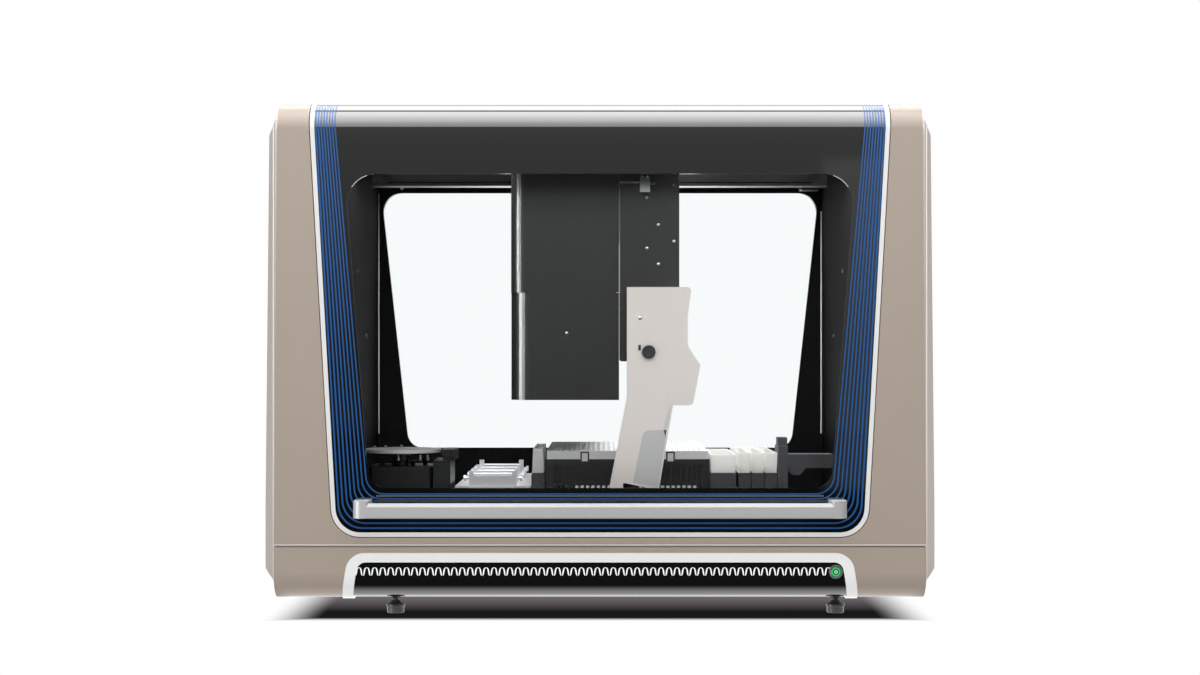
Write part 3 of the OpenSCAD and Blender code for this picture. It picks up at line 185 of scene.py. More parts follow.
def two_tone(name, below, above, height, rough):
    """A moulded piece in two colours, parted at a height: a dark foot and a thin pale tray."""
    made, tree, out = blank(name)
    place = object_place(tree)
    split = shade(tree, "ShaderNodeSeparateXYZ", Vector=place)
    upper = shade(tree, "ShaderNodeMath", {"operation": "GREATER_THAN"}, i0=split.outputs["Z"], i1=height)
    paint = shade(tree, "ShaderNodeMixRGB", Fac=upper.outputs["Value"],
                  Color1=clouded(tree, place, below, 0.02), Color2=clouded(tree, place, above, 0.02))
    skin = shade(tree, "ShaderNodeBsdfPrincipled", Base_Color=paint.outputs["Color"], Roughness=rough,
                 IOR=1.49)
    grained(tree, place, skin, 0.03, 0.6)
    # the thin tray passes the light that falls into it
    thin = shade(tree, "ShaderNodeMath", {"operation": "MULTIPLY"}, i0=upper.outputs["Value"], i1=0.45)
    passed = shade(tree, "ShaderNodeBsdfTranslucent", Color=colour("#ffffff"))
    mixed = shade(tree, "ShaderNodeMixShader", Fac=thin.outputs["Value"], i1=skin.outputs["BSDF"],
                  i2=passed.outputs["BSDF"])
    tree.links.new(mixed.outputs["Shader"], out.inputs["Surface"])
    return made


print("opaque helpers: finish_as and two_tone")


# %% [markdown]
# ## Clear, milky and lit finishes
# The window is a thin clear sheet. Real refraction would need thick glass and many more samples, so
# the sheet is transparent under a faint reflection that grows towards its edges. Sawn acrylic is
# part milk and part clear. A light line is a diffuser with lamps behind it, never quite even.

# %% Sheet, acrylic and diffuser
def clear_as(name, tint, shine, rough=0.02):
    """A thin clear sheet: what is behind shows through, under a faint reflection with wiping marks."""
    made, tree, out = blank(name)
    wiped = shade(tree, "ShaderNodeTexNoise", Vector=object_place(tree), Scale=9.0, Detail=4.0)
    haze = shade(tree, "ShaderNodeMapRange", Value=wiped.outputs["Fac"], To_Min=rough * 0.5, To_Max=rough * 2)
    through = shade(tree, "ShaderNodeBsdfTransparent", Color=colour(tint))
    gloss = shade(tree, "ShaderNodeBsdfGlossy", Roughness=haze.outputs["Result"], Color=(1, 1, 1, 1))
    edge = shade(tree, "ShaderNodeLayerWeight", Blend=0.12)
    amount = shade(tree, "ShaderNodeMath", {"operation": "MULTIPLY"}, i0=edge.outputs["Fresnel"], i1=shine)
    mixed = shade(tree, "ShaderNodeMixShader", Fac=amount.outputs["Value"], i1=through.outputs["BSDF"],
                  i2=gloss.outputs["BSDF"])
    tree.links.new(mixed.outputs["Shader"], out.inputs["Surface"])
    return made


def frosted_as(name, code, body):
    """Cast acrylic with sawn edges: part milky, part clear."""
    made, tree, out = blank(name)
    place = object_place(tree)
    milk = shade(tree, "ShaderNodeBsdfPrincipled", Base_Color=clouded(tree, place, code, 0.02),
                 Roughness=0.22, IOR=1.49)
    grained(tree, place, milk, 0.04, 0.5)
    through = shade(tree, "ShaderNodeBsdfTransparent", Color=(1, 1, 1, 1))
    mixed = shade(tree, "ShaderNodeMixShader", Fac=body, i1=through.outputs["BSDF"], i2=milk.outputs["BSDF"])
    tree.links.new(mixed.outputs["Shader"], out.inputs["Surface"])
    return made


def glow_as(name, code, strength):
    """A lit line or ring behind a diffuser: a little uneven along its length."""
    made, tree, out = blank(name)
    uneven = shade(tree, "ShaderNodeTexNoise", Vector=object_place(tree), Scale=30.0, Detail=1.0)
    level = shade(tree, "ShaderNodeMapRange", Value=uneven.outputs["Fac"], To_Min=strength * 0.94,
                  To_Max=strength * 1.06)
    light = shade(tree, "ShaderNodeEmission", Color=colour(code), Strength=level.outputs["Result"])
    tree.links.new(light.outputs["Emission"], out.inputs["Surface"])
    return made


print("clear helpers: clear_as, frosted_as and glow_as")

# %% [markdown]
# ## One material for each slot
# The record names a slot on every rigid piece. Each slot gets the material that the real piece is
# made of. The comment above each says what it is and what that gives the eye.

# %% Materials for the slots
finishes = {
    # polyester powder coat on folded steel: satin, with a fine orange peel
    "beige_paint": finish_as("beige_powder_coat", "#aea094", 0.34, grain=0.05, grain_mm=0.8, mottle=0.02),
    # sprayed satin paint on moulded covers: paler and greyer than the steel beside it
    "cover_paint": finish_as("satin_sprayed_cover", "#e1d7d0", 0.36, grain=0.05, grain_mm=0.8, mottle=0.02),
    # moulded gloss ABS: white, with soft clear highlights
    "white_trim": finish_as("moulded_gloss_abs", "#efefee", 0.25, grain=0.01),
    # formed black polycarbonate sheet: a dark mirror with almost no colour of its own
    "black_panel": finish_as("black_gloss_polycarbonate", "#0d0e0e", 0.05, grain=0.0, ior=1.75),
    # clear polycarbonate sheet: nearly unseen, with a faint glint at its edges
    "clear_pane": clear_as("clear_polycarbonate", "#fdfefe", 0.35),
    # bead-blasted and anodised aluminium: a soft grey shine without streaks
    "satin_silver": finish_as("satin_anodised_aluminium", "#c2c2c4", 0.3, metal=0.85, grain=0.04,
                              grain_mm=0.4),
    # ground and plated steel: a clean hard shine
    "steel": finish_as("ground_plated_steel", "#b8b9bb", 0.28, metal=1.0),
    # black epoxy paint on sheet steel: dull, so that the chamber swallows light
    "chassis_paint": finish_as("black_epoxy_paint", "#0c0c0d", 0.5, grain=0.1, shine=0.15),
    # black anodised aluminium plate: dark and even
    "deck_metal": finish_as("black_anodised_aluminium", "#101011", 0.4, grain=0.1, shine=0.25),
    # moulded tinted acrylic: dark until it is lit
    "green_button": finish_as("tinted_acrylic_cap", "#2c3230", 0.3, grain=0.01),
    # moulded rubber: matt with a slight tooth
    "foot_rubber": finish_as("moulded_rubber", "#141414", 0.55, grain=0.1, grain_mm=0.5),
    # cast polyurethane belting: matt black
    "belt_rubber": finish_as("cast_polyurethane_belt", "#111111", 0.6, grain=0.08, grain_mm=0.5),
    # black enamel on pressed steel: a slight sheen
    "motor_black": finish_as("black_motor_enamel", "#1c1c1d", 0.4),
    # dark lacquer on bent aluminium: satin, with a bright streak along its bend
    "arm_grey": finish_as("dark_lacquered_aluminium", "#2e2e2e", 0.27, grain=0.06, grain_mm=0.7),
    # warm grey paint on moulded ABS: soft and even
    "head_grey": finish_as("warm_grey_painted_abs", "#e8dfda", 0.38, grain=0.04, grain_mm=0.7),
    # moulded phenolic: nearly matt
    "knob_black": finish_as("moulded_phenolic", "#1d1d1e", 0.45, grain=0.15, grain_mm=0.5),
    # turned white acetal: slightly waxy
    "barrel_white": finish_as("turned_acetal", "#e6e6e6", 0.3, grain=0.02),
    # solder mask on glass epoxy: green with a sheen
    "board_green": finish_as("solder_mask_on_epoxy", "#1f4a33", 0.4),
    # moulded black polypropylene: dark satin
    "carrier_black": finish_as("moulded_black_polypropylene", "#101011", 0.35, grain=0.05, grain_mm=0.5),
    # turned and bead-blasted aluminium: grey, with a soft sheen
    "disc_grey": finish_as("bead_blasted_aluminium", "#737475", 0.32, metal=0.35, grain=0.05, grain_mm=0.4),
    # cast acrylic with sawn edges: part milky, part clear
    "clear_acrylic": frosted_as("sawn_cast_acrylic", "#e4e8ea", 0.62),
    # moulded light grey polypropylene: soft and even
    "rack_white": finish_as("moulded_grey_polypropylene", "#d8d8d9", 0.4, grain=0.02),
    # natural polypropylene trays on black feet: the thin walls glow with the light inside them
    "trough_white": two_tone("natural_polypropylene_tray", "#3a3a3b", "#f4f2ee", 0.217, 0.35),
}
for part in frame["record"]["subparts"]:
    held = nodes[part["node"]].data.materials
    for index in range(len(held)):
        held[index] = finishes[part["material_slot"]]

# %% [markdown]
# ## Pieces that differ from their slot
# A few pieces share a slot with others but were finished another way, so their material is replaced
# on the piece itself.

# %% Finishes of single pieces
own_finishes = {
    # clear lacquer over blasted aluminium: pale and nearly matt
    "door_handle": finish_as("lacquered_aluminium_bar", "#adadae", 0.5, metal=0.1, grain=0.04, grain_mm=0.4),
    # polished ABS moulding: the brightest white of the front
    "light_panel_trim": finish_as("polished_white_abs", "#ffffff", 0.2),
    # silver paint on moulded ABS: a light metal look without a mirror
    "plate_carrier": finish_as("silver_painted_abs", "#e2e2e4", 0.3, metal=0.3, grain=0.03, grain_mm=0.4),
    # moulded dark grey polypropylene: a shade lighter than the carriers
    "waste_chute": finish_as("dark_grey_polypropylene", "#48484a", 0.4, grain=0.08, grain_mm=0.5),
    # steel feet given a dark grey that paints the shade under the body: dark with a low sheen
    "levelling_feet": finish_as("steel_darkened_for_painted_shade", "#38383a", 0.35, shine=0.4),
}
for name, own in own_finishes.items():
    nodes[name].data.materials[0] = own
print(len(own_finishes), "pieces with a finish of their own")

# %% [markdown]
# ## Inks, painted highlights and shade, labels and lights
# These are the materials of what the next cells add to the frame's pieces.

# %% Materials of the added pieces
# screen inks, cured: blue with a soft gloss, and a warm grey
blue_ink = finish_as("blue_screen_ink", "#195697", 0.25, grain=0.01)
grey_ink = finish_as("grey_screen_ink", "#655d58", 0.2)
# painted highlight: pale and bright, for light caught along edges and seams; the rear wall's screw head has
# the same tone
pale_highlight = finish_as("painted_highlight_pale", "#fbf6f2", 0.3)
# painted highlight along the disc's edge: lighter than the blasted disc
rim_highlight = finish_as("painted_highlight_on_rim", "#e2e2e3", 0.3, metal=0.2)
# painted shade in the groove of the seam: a dull, warm grey strip
groove_shade = finish_as("painted_shade_in_seam", "#8f8680", 0.5)
# printed vinyl film: an even light grey
vinyl_label = finish_as("grey_vinyl_label", "#c6c5c5", 0.4)
# a flat film a shade darker than the head's cover: painted shade of a fold on its leg
painted_fold_shade = finish_as("painted_fold_shade", "#d6d4d2", 0.4)
# a thin grey line along the end plate's edge
grey_edge_line = finish_as("grey_line_on_edge", "#5e5f5f", 0.4)
# moulded black nylon: nearly matt
black_nylon = finish_as("moulded_black_nylon", "#2a2a2a", 0.4)
# moulded white polypropylene: bright and waxy
white_tip = finish_as("moulded_white_polypropylene", "#fbfbfb", 0.35)
# acrylic diffusers over lamps: white for the line, green for the ring, pale green for the dot
line_light = glow_as("white_diffuser", "#f4f7f6", 1.1)
ring_light = glow_as("green_diffuser", "#35c46c", 1.0)
dot_light = glow_as("pale_green_diffuser", "#cfeedd", 1.0)
print(len(bpy.data.materials), "materials in all")


# %% [markdown]
# ## Making pieces
# Every added piece is a plain mesh whose object sits at the origin and rides on one body, so that it
# follows its joint. A piece can come from a bmesh or from points and faces.

# %% Single pieces
def piece(name, mesh_or_points, faces, material, body):
    """One visible piece, from a bmesh or from points and faces."""
    mesh = bpy.data.meshes.new(name)
    if isinstance(mesh_or_points, bmesh.types.BMesh):
        bmesh.ops.recalc_face_normals(mesh_or_points, faces=mesh_or_points.faces)
        mesh_or_points.to_mesh(mesh)
        mesh_or_points.free()
    else:
        mesh.from_pydata(mesh_or_points, [], faces)
    mesh.materials.append(material)
    made = bpy.data.objects.new(name, mesh)
    bpy.context.collection.objects.link(made)
    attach(made, body)
    return made


def ribbon(name, corners, y, material, body):
    """A flat patch that faces the front, from its corners in X and Z."""
    shape = bmesh.new()
    shape.faces.new([shape.verts.new((x, y, z)) for x, z in corners])
    made = piece(name, shape, None, material, body)
    if made.data.polygons[0].normal.y > 0:
        made.data.flip_normals()
    return made


def strip(name, across, up, y, material, body):
    """An upright rectangle, from its two ends in X and its two ends in Z."""
    (x0, x1), (z0, z1) = across, up
    return ribbon(name, [(x0, z0), (x1, z0), (x1, z1), (x0, z1)], y, material, body)


def turned(profile, steps=20, capped=True):
    """A shape turned about Z from (radius, height) pairs, closed at both ends unless it is a ring."""
    shape = bmesh.new()
    rings = []
    for radius, height in profile:
        angles = [2 * math.pi * k / steps for k in range(steps)]
        rings.append([shape.verts.new((radius * math.cos(a), radius * math.sin(a), height)) for a in angles])
    bands = list(zip(rings, rings[1:]))
    if not capped:
        bands.append((rings[-1], rings[0]))
    for low_ring, high_ring in bands:
        for k in range(steps):
            after = (k + 1) % steps
            shape.faces.new((low_ring[k], low_ring[after], high_ring[after], high_ring[k]))
    if capped:
        shape.faces.new(rings[0][::-1])
        shape.faces.new(rings[-1])
    return shape


print("piece helpers: piece, ribbon, strip and turned")


# %% [markdown]
# ## Patterns
# Screws, teeth and tips repeat one small part. Copying objects would work, but a Geometry Nodes tree
# that sets a part on each vertex of a mesh of places makes one piece from hundreds of copies, and
# the same tree serves them all.

# %% A node tree that repeats a part
def pattern_group():
    """The node group that sets one copy of a small part on each vertex of a mesh of places."""
    group = bpy.data.node_groups.new("one_at_each_place", "GeometryNodeTree")
    inputs = {"Places": "Geometry", "Part": "Object", "Turn": "Vector", "Finish": "Material"}
    for name, kind in inputs.items():
        group.interface.new_socket(name, in_out="INPUT", socket_type="NodeSocket" + kind)
    group.interface.new_socket("Copies", in_out="OUTPUT", socket_type="NodeSocketGeometry")
    given, made = group.nodes.new("NodeGroupInput"), group.nodes.new("NodeGroupOutput")
    part = shade(group, "GeometryNodeObjectInfo", Object=given.outputs["Part"])
    placed = shade(group, "GeometryNodeInstanceOnPoints", Points=given.outputs["Places"],
                   Instance=part.outputs["Geometry"], Rotation=given.outputs["Turn"])
    solid = shade(group, "GeometryNodeRealizeInstances", Geometry=placed.outputs["Instances"])
    dressed = shade(group, "GeometryNodeSetMaterial", Geometry=solid.outputs["Geometry"],
                    Material=given.outputs["Finish"])
    group.links.new(dressed.outputs["Geometry"], made.inputs["Copies"])
    return group


at_each_place = pattern_group()


def pattern(name, places, shape, turn, material, body):
    """Copies of a bmesh shape at each place, as one plain mesh."""
    part_mesh = bpy.data.meshes.new(name + "_part")
    bmesh.ops.recalc_face_normals(shape, faces=shape.faces)
    shape.to_mesh(part_mesh)
    shape.free()
    part = bpy.data.objects.new(name + "_part", part_mesh)
    points = bpy.data.meshes.new(name + "_places")
    points.from_pydata([tuple(p) for p in places], [], [])
    spots = bpy.data.objects.new(name, points)
    bpy.context.collection.objects.link(spots)
    bpy.context.collection.objects.link(part)
    live = spots.modifiers.new("copies", "NODES")
    live.node_group = at_each_place
    given = {"Part": part, "Turn": turn, "Finish": material}
    for socket in at_each_place.interface.items_tree:
        if socket.name in given:
            live[socket.identifier] = given[socket.name]
    bpy.context.view_layer.update()
    solid = bpy.data.meshes.new_from_object(spots.evaluated_get(bpy.context.evaluated_depsgraph_get()))
    spots.modifiers.remove(live)
    spots.data = solid
    solid.materials.clear()
    solid.materials.append(material)
    bpy.data.objects.remove(part)
    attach(spots, body)
    return spots


print("pattern inputs:", [socket.name for socket in at_each_place.interface.items_tree])


# %% [markdown]
# ## Pin stripes on the door
# The real stripes are screen printed on the door. Eight blue lines run down both sides, turn the
# lower corners as nested arcs and run back over the bend at the top. A texture could draw them, but
# narrow ribbons of mesh stay sharp from every side. Each stripe is the outer one moved inwards by a
# step, so a few numbers give all eight.

# %% The path of one stripe
STRIPES = 8
BEND_X, BEND_X_STEP = 0.4488, 0.00436       # half width at the bend, outer stripe and step inwards
FOOT_X, FOOT_X_STEP = 0.4152, 0.0066        # half width at the foot
BEND_Z, FOOT_Z = 0.774, 0.217               # the heights of those two half widths
LINE_Z, LINE_Z_STEP = 0.1409, 0.0077        # height of the level run along the foot
CORNER, CORNER_STEP = 0.038, 0.0013         # radius of the lower corners
STRIPE, STRIPE_STEP = 0.00275, 0.0001       # width of the ribbon
LIFT = 0.00015                              # how far the ink stands off the skin
BEND_ROWS = 12                              # rows of the ribbon round the quarter turn at the top


def round_corner(before, at, after, radius, steps=14):
    """Points of the arc that rounds one corner of a path."""
    u, v = (before - at).normalized(), (after - at).normalized()
    half = u.angle(v) / 2
    centre = at + (u + v).normalized() * (radius / math.sin(half))
    reach = radius / math.tan(half)
    start, end = at + u * reach - centre, at + v * reach - centre
    sweep = start.angle_signed(end)
    return [centre + Matrix.Rotation(-sweep * k / steps, 2) @ start for k in range(steps + 1)]


def over_bend(x, inwards, width):
    """The stretch of a stripe that runs back over the door's top edge."""
    rows = []
    for k in range(1, BEND_ROWS + 1):
        a = math.pi / 2 * k / BEND_ROWS
        y = FRONT + BEND - (BEND + LIFT) * math.cos(a)
        z = PANEL_TOP - BEND + (BEND + LIFT) * math.sin(a)
        rows.append((y, z))
    rows.append((DOOR_BACK - 0.001, PANEL_TOP + LIFT))
    return [[(x + s * inwards * width / 2, y, z) for s in (-1, 1)] for y, z in rows]


def door_stripe(index):
    """One stripe, as the left and right edges of its ribbon on the door's skin."""
    at_top, at_foot = BEND_X - BEND_X_STEP * index, FOOT_X - FOOT_X_STEP * index
    lean = (at_top - at_foot) / (BEND_Z - FOOT_Z)
    level = LINE_Z + LINE_Z_STEP * index
    start = Vector((-at_top, PANEL_TOP - BEND))
    corner = Vector((-(at_foot - lean * (FOOT_Z - level)), level))
    side = [start] + round_corner(start, corner, Vector((0, level)), CORNER - CORNER_STEP * index)
    path = side + [Vector((-p.x, p.y)) for p in reversed(side)]
    width = STRIPE - STRIPE_STEP * index
    flat = []
    for k, at in enumerate(path):
        along = (path[min(k + 1, len(path) - 1)] - path[max(k - 1, 0)]).normalized()
        across = Vector((-along.y, along.x)) * width / 2
        flat.append([(at.x + s * across.x, FRONT - LIFT, at.y + s * across.y) for s in (-1, 1)])
    return over_bend(-at_top, 1, width)[::-1] + flat + over_bend(at_top, -1, width)


print("outer stripe:", len(door_stripe(0)), "rows")


# %% All stripes as one piece
def door_stripes():
    """Every stripe in one mesh, facing outwards."""
    points, faces = [], []
    for index in range(STRIPES):
        first = len(points)
        rows = door_stripe(index)
        for row in rows:
            points.extend(row)
        for k in range(len(rows) - 1):
            a = first + 2 * k
            faces.append((a, a + 1, a + 3, a + 2))
    made = piece("door_stripes", points, faces, blue_ink, "door")
    facing_in = sum(1 for f in made.data.polygons if f.normal.y > 0.5)
    if facing_in > len(faces) / 4:
        made.data.flip_normals()
    return made


stripes = door_stripes()
print("stripes:", len(stripes.data.polygons), "faces")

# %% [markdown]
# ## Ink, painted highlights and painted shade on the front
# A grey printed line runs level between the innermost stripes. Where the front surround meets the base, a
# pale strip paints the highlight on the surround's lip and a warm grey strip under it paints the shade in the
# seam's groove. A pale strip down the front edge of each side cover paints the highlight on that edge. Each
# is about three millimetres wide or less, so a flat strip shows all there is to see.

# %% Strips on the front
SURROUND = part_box("front_surround")[0][1]
COVER_EDGE_Y = -0.3515
# the pale strip at each side cover's front edge, called the bead below, is a painted highlight
COVER_HIGHLIGHT = (0.5152, 0.5172)               # inner and outer edge of the bead, from the middle
strip("foot_band", (-0.353, 0.353), (0.1902, 0.1932), FRONT - 1.2 * PRINT, grey_ink, "door")
# a pale strip: painted highlight on the lip of the front surround
strip("seam_lip", (-0.5145, 0.5145), (0.1138, 0.1150), SURROUND - PRINT, pale_highlight, "housing")
# a warm grey strip: painted shade in the groove of the seam
strip("seam_gasket", (-0.5135, 0.5135), (0.1106, 0.1134), FRONT + 0.0012, groove_shade, "housing")
# pale strips: painted highlights down the front edges of the side covers
for label, side in (("left", -1), ("right", 1)):
    strip("side_gasket_" + label, sorted(side * x for x in COVER_HIGHLIGHT), (0.060, 0.775), COVER_EDGE_Y,
          pale_highlight, "housing")
print("seam lip at y", round(SURROUND - PRINT, 4))

# %% [markdown]
# ## The zigzag light line
# Behind the lower black panel a bent light guide shines as a row of rounded teeth. It could be one
# long curve, but a single tooth repeated sixty times has few faces and an exact pitch. Its sides
# are wider than its crown and its feet, so the line reads as a row of bright slants.

# %% One tooth and its row
LIGHT_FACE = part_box("light_panel")[0][1]
TEETH, TOOTH_PITCH, TOOTH_HEIGHT = 60, 0.01255, 0.0119
FIRST_TOOTH, TEETH_FOOT = -0.3805, 0.0664
# (place along the pitch, share of the height, width of the glow in mm), from a foot to the crown
HALF_TOOTH = [(-0.455, 0.0, 0.9), (-0.40, 0.02, 1.4), (-0.345, 0.20, 2.0), (-0.30, 0.50, 2.2),
              (-0.25, 0.80, 2.0), (-0.17, 0.96, 1.4), (-0.06, 1.0, 1.0)]


def light_tooth():
    """One tooth of the line: a rounded crown, steep wide sides and two small feet."""
    outline = HALF_TOOTH + [(-x, z, width) for x, z, width in reversed(HALF_TOOTH)]
    shape = bmesh.new()
    rows = []
    for k, (x, z, width) in enumerate(outline):
        (x0, z0, _), (x1, z1, _) = outline[max(k - 1, 0)], outline[min(k + 1, len(outline) - 1)]
        along = Vector(((x1 - x0) * TOOTH_PITCH, (z1 - z0) * TOOTH_HEIGHT)).normalized()
        across = Vector((-along.y, along.x)) * width * MM / 2
        rows.append([shape.verts.new((x * TOOTH_PITCH + s * across.x, 0, z * TOOTH_HEIGHT + s * across.y))
                     for s in (-1, 1)])
    for a, b in zip(rows, rows[1:]):
        shape.faces.new((a[0], a[1], b[1], b[0]))
    return shape


teeth = [(FIRST_TOOTH + TOOTH_PITCH * k, LIGHT_FACE - PRINT, TEETH_FOOT) for k in range(TEETH)]
pattern("zigzag_light", teeth, light_tooth(), (0, 0, 0), line_light, "housing")
print(len(teeth), "light teeth")

# %% [markdown]
# ## The lit power button
# A ring and a small dot light up in the button's cap. They are low rings turned about the button's
# own axis, and they ride on the button, so they move when it is pressed.

# %% Ring and dot
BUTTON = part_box("power_button")
RING_HEIGHT = 0.0003


def button_ring(name, inner, outer, material):
    """A lit ring in the button's face."""
    x, z = ((BUTTON[0][axis] + BUTTON[1][axis]) / 2 for axis in (0, 2))
    shape = turned([(inner, 0), (inner, RING_HEIGHT), (outer, RING_HEIGHT), (outer, 0)], 40, capped=False)
    face = Matrix.Translation((x, BUTTON[0][1] + PRINT, z)) @ Matrix.Rotation(math.pi / 2, 4, "X")
    bmesh.ops.transform(shape, matrix=face, verts=shape.verts)
    return piece(name, shape, None, material, "button")


button_ring("button_ring", 0.0048, 0.0074, ring_light)
button_ring("button_dot", 0.0014, 0.0028, dot_light)
print("button rings at y", round(BUTTON[0][1] + PRINT, 4))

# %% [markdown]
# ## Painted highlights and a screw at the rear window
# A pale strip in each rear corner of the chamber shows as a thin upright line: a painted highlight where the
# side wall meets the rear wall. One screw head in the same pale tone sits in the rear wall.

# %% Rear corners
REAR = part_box("rear_wall")[0][1]
CORNER_LINE_X, CORNER_LINE_HALF = 0.4360, 0.0007
TO_FRONT, TO_RIGHT, TO_LEFT = (math.pi / 2, 0, 0), (0, math.pi / 2, 0), (0, -math.pi / 2, 0)
# pale strips in the rear corners: painted highlights where the side walls meet the rear wall
for label, side, top in (("left", -1, 0.736), ("right", 1, 0.700)):
    strip("corner_bead_" + label, (side * CORNER_LINE_X - CORNER_LINE_HALF, side * CORNER_LINE_X + CORNER_LINE_HALF), (0.262, top),
          REAR - 0.0015, pale_highlight, "housing")
# the screw head takes the pale tone of the painted highlights
low_head = turned([(0.0034, 0), (0.0034, 0.0008), (0.0026, 0.0014)], 14)
pattern("rear_wall_screw", [(-0.3906, REAR, 0.746)], low_head, TO_FRONT, pale_highlight, "housing")
print("rear wall's face at y", round(REAR, 4))


# %% [markdown]
# ## Screws
# Domed socket screws hold the chamber walls, the arm's end plate and the head's cover. One turned
# head, with a pit for its socket, serves them all at the radius of each screw.

# %% Screw heads
def screw_head(radius):
    """A small domed head with a round pit for its socket."""
    return turned([(radius, 0), (radius, radius * 0.35), (radius * 0.8, radius * 0.6),
                   (radius * 0.4, radius * 0.7), (radius * 0.35, radius * 0.4)], 16)


WALL_X = 0.437                              # inner faces of the chamber's side walls
# places as (y, z) on the walls and as (x, z) on the end plate and the head
WALL_PLACES = [(0.043, 0.567), (0.043, 0.412), (0.165, 0.452), (-0.20, 0.60), (-0.20, 0.40)]
PLATE_PLACES = [(0.1203, 0.691), (0.0764, 0.670), (0.0951, 0.626), (0.1203, 0.599), (0.0764, 0.588),
                (0.0951, 0.562)]
HEAD_PLACES = [(0.0646, 0.474), (0.1409, 0.403), (0.1404, 0.3455)]
steel = finishes["steel"]
for label, x, turn in (("left", -WALL_X, TO_RIGHT), ("right", WALL_X, TO_LEFT)):
    pattern(label + "_wall_screws", [(x, y, z) for y, z in WALL_PLACES], screw_head(0.0035), turn, steel,
            "housing")
pattern("end_plate_screws", [(x, END_PLATE, z) for x, z in PLATE_PLACES], screw_head(0.0027), TO_FRONT, steel,
        "arm")
pattern("head_cover_screws", [(x, HEAD, z) for x, z in HEAD_PLACES], screw_head(0.0032), TO_FRONT, steel,
        "arm")
print(2 * len(WALL_PLACES) + len(PLATE_PLACES) + len(HEAD_PLACES), "screws")

# %% [markdown]
# ## Small marks on the arm and its head
# The head's cover has a sight slot, a darker film on its leg that is the painted shade of a fold, and a bare
# label patch. The end plate shows a thin grey line along its edge and a tie bar along its top. They are flat
# films just off the face. One screw holds the arm's lower cover.

# %% Films on the arm
ARM_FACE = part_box("arm_cover_lower")[0][1]
EDGE_X = (0.0318, 0.0330)
FOLD = [(0.1110, 0.3290), (0.1158, 0.3290), (0.1056, 0.2800), (0.1030, 0.2960)]
LABEL = [(0.0748, 0.2923), (0.1072, 0.2932), (0.0945, 0.1990), (0.0533, 0.2081), (0.0690, 0.2865)]
strip("head_slot", (0.0618, 0.0660), (0.4215, 0.4305), HEAD - PRINT, black_nylon, "arm")
# a flat grey line along the end plate's edge
strip("end_plate_edge", EDGE_X, (0.517, 0.685), END_PLATE - PRINT, grey_edge_line, "arm")
strip("end_plate_tie", (EDGE_X[0], 0.0900), (0.6944, 0.6960), END_PLATE - PRINT, vinyl_label, "arm")
pattern("arm_cover_screw", [(-0.0542, ARM_FACE, 0.450)], screw_head(0.0026), TO_FRONT, steel, "arm")
# a darker film: painted shade of a fold on the head's leg
ribbon("leg_fold", FOLD, HEAD - PRINT, painted_fold_shade, "arm")
ribbon("head_label", LABEL, HEAD - PRINT, vinyl_label, "arm")
print("head films at y", round(HEAD - PRINT, 4))

# %% [markdown]
# ## Pipette tips
# Ninety-six moulded tips stand in each of eight racks, at the nine millimetre pitch that all such
# racks share. A tip has only eight sides, because there are hundreds of them.

# %% Tips
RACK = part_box("tip_racks")
TIP_PITCH, RACK_LONG, RACK_DEEP = 0.009, 0.1278, 0.0875
RACK_ROWS, TIPS_ACROSS, TIPS_DEEP = 4, 12, 8
TIP_SEAT = 0.0098                           # the tips' collars lie this far below the racks' top
rack_xs = [RACK[0][0] + RACK_LONG / 2, RACK[1][0] - RACK_LONG / 2]


def tip():
    """A tapered tip with an open top, sunk a little below the rack's face."""
    collar = [(0.0019, -0.004), (0.0024, 0.0078), (0.0028, 0.0078)]
    cone = [(0.0027, -0.020), (0.0012, -0.066)]
    return turned(collar + cone, 8)


def from_middle(index, count):
    """How far a place in an even row lies from the row's middle."""
    return (index - (count - 1) / 2) * TIP_PITCH


def tip_places():
    """Every tip's place, rack by rack."""
    places = []
    for x in rack_xs:
        for i in range(RACK_ROWS):
            y = RACK[0][1] + RACK_DEEP * (i + 0.5)
            places += [(x + from_middle(c, TIPS_ACROSS), y + from_middle(r, TIPS_DEEP), RACK[1][2] - TIP_SEAT)
                       for c in range(TIPS_ACROSS) for r in range(TIPS_DEEP)]
    return places


tips = pattern("pipette_tips", tip_places(), tip(), (0, 0, 0), white_tip, "housing")
print(len(tips.data.polygons), "faces in the tips of", len(rack_xs) * RACK_ROWS, "racks")

# %% [markdown]
# ## Latches and feet of the racks
# A black latch with a pale catch holds each front rack. Behind the comb of the carrier the feet of
# the rack's insert show, one to a slot, each with a cut corner that keys it.

# %% Latches, catches and feet
LATCH_HALF, CATCH_HALF, LATCH_FOOT, LATCH_TOP = 0.0075, 0.0048, 0.2365, 0.2525
FOOT_HALF, FOOT_TALL, FOOT_THICK, FOOT_LOW = 0.0027, 0.0160, 0.003, 0.1803
for k, x in enumerate(rack_xs):
    strip("rack_latch_" + str(k + 1), (x - LATCH_HALF, x + LATCH_HALF), (LATCH_FOOT, LATCH_TOP),
          RACK[0][1] - 2 * PRINT, black_nylon, "housing")
    strip("rack_catch_" + str(k + 1), (x - CATCH_HALF, x + CATCH_HALF), (LATCH_FOOT, LATCH_TOP - 0.0025),
          RACK[0][1] - 4 * PRINT, finishes["rack_white"], "housing")


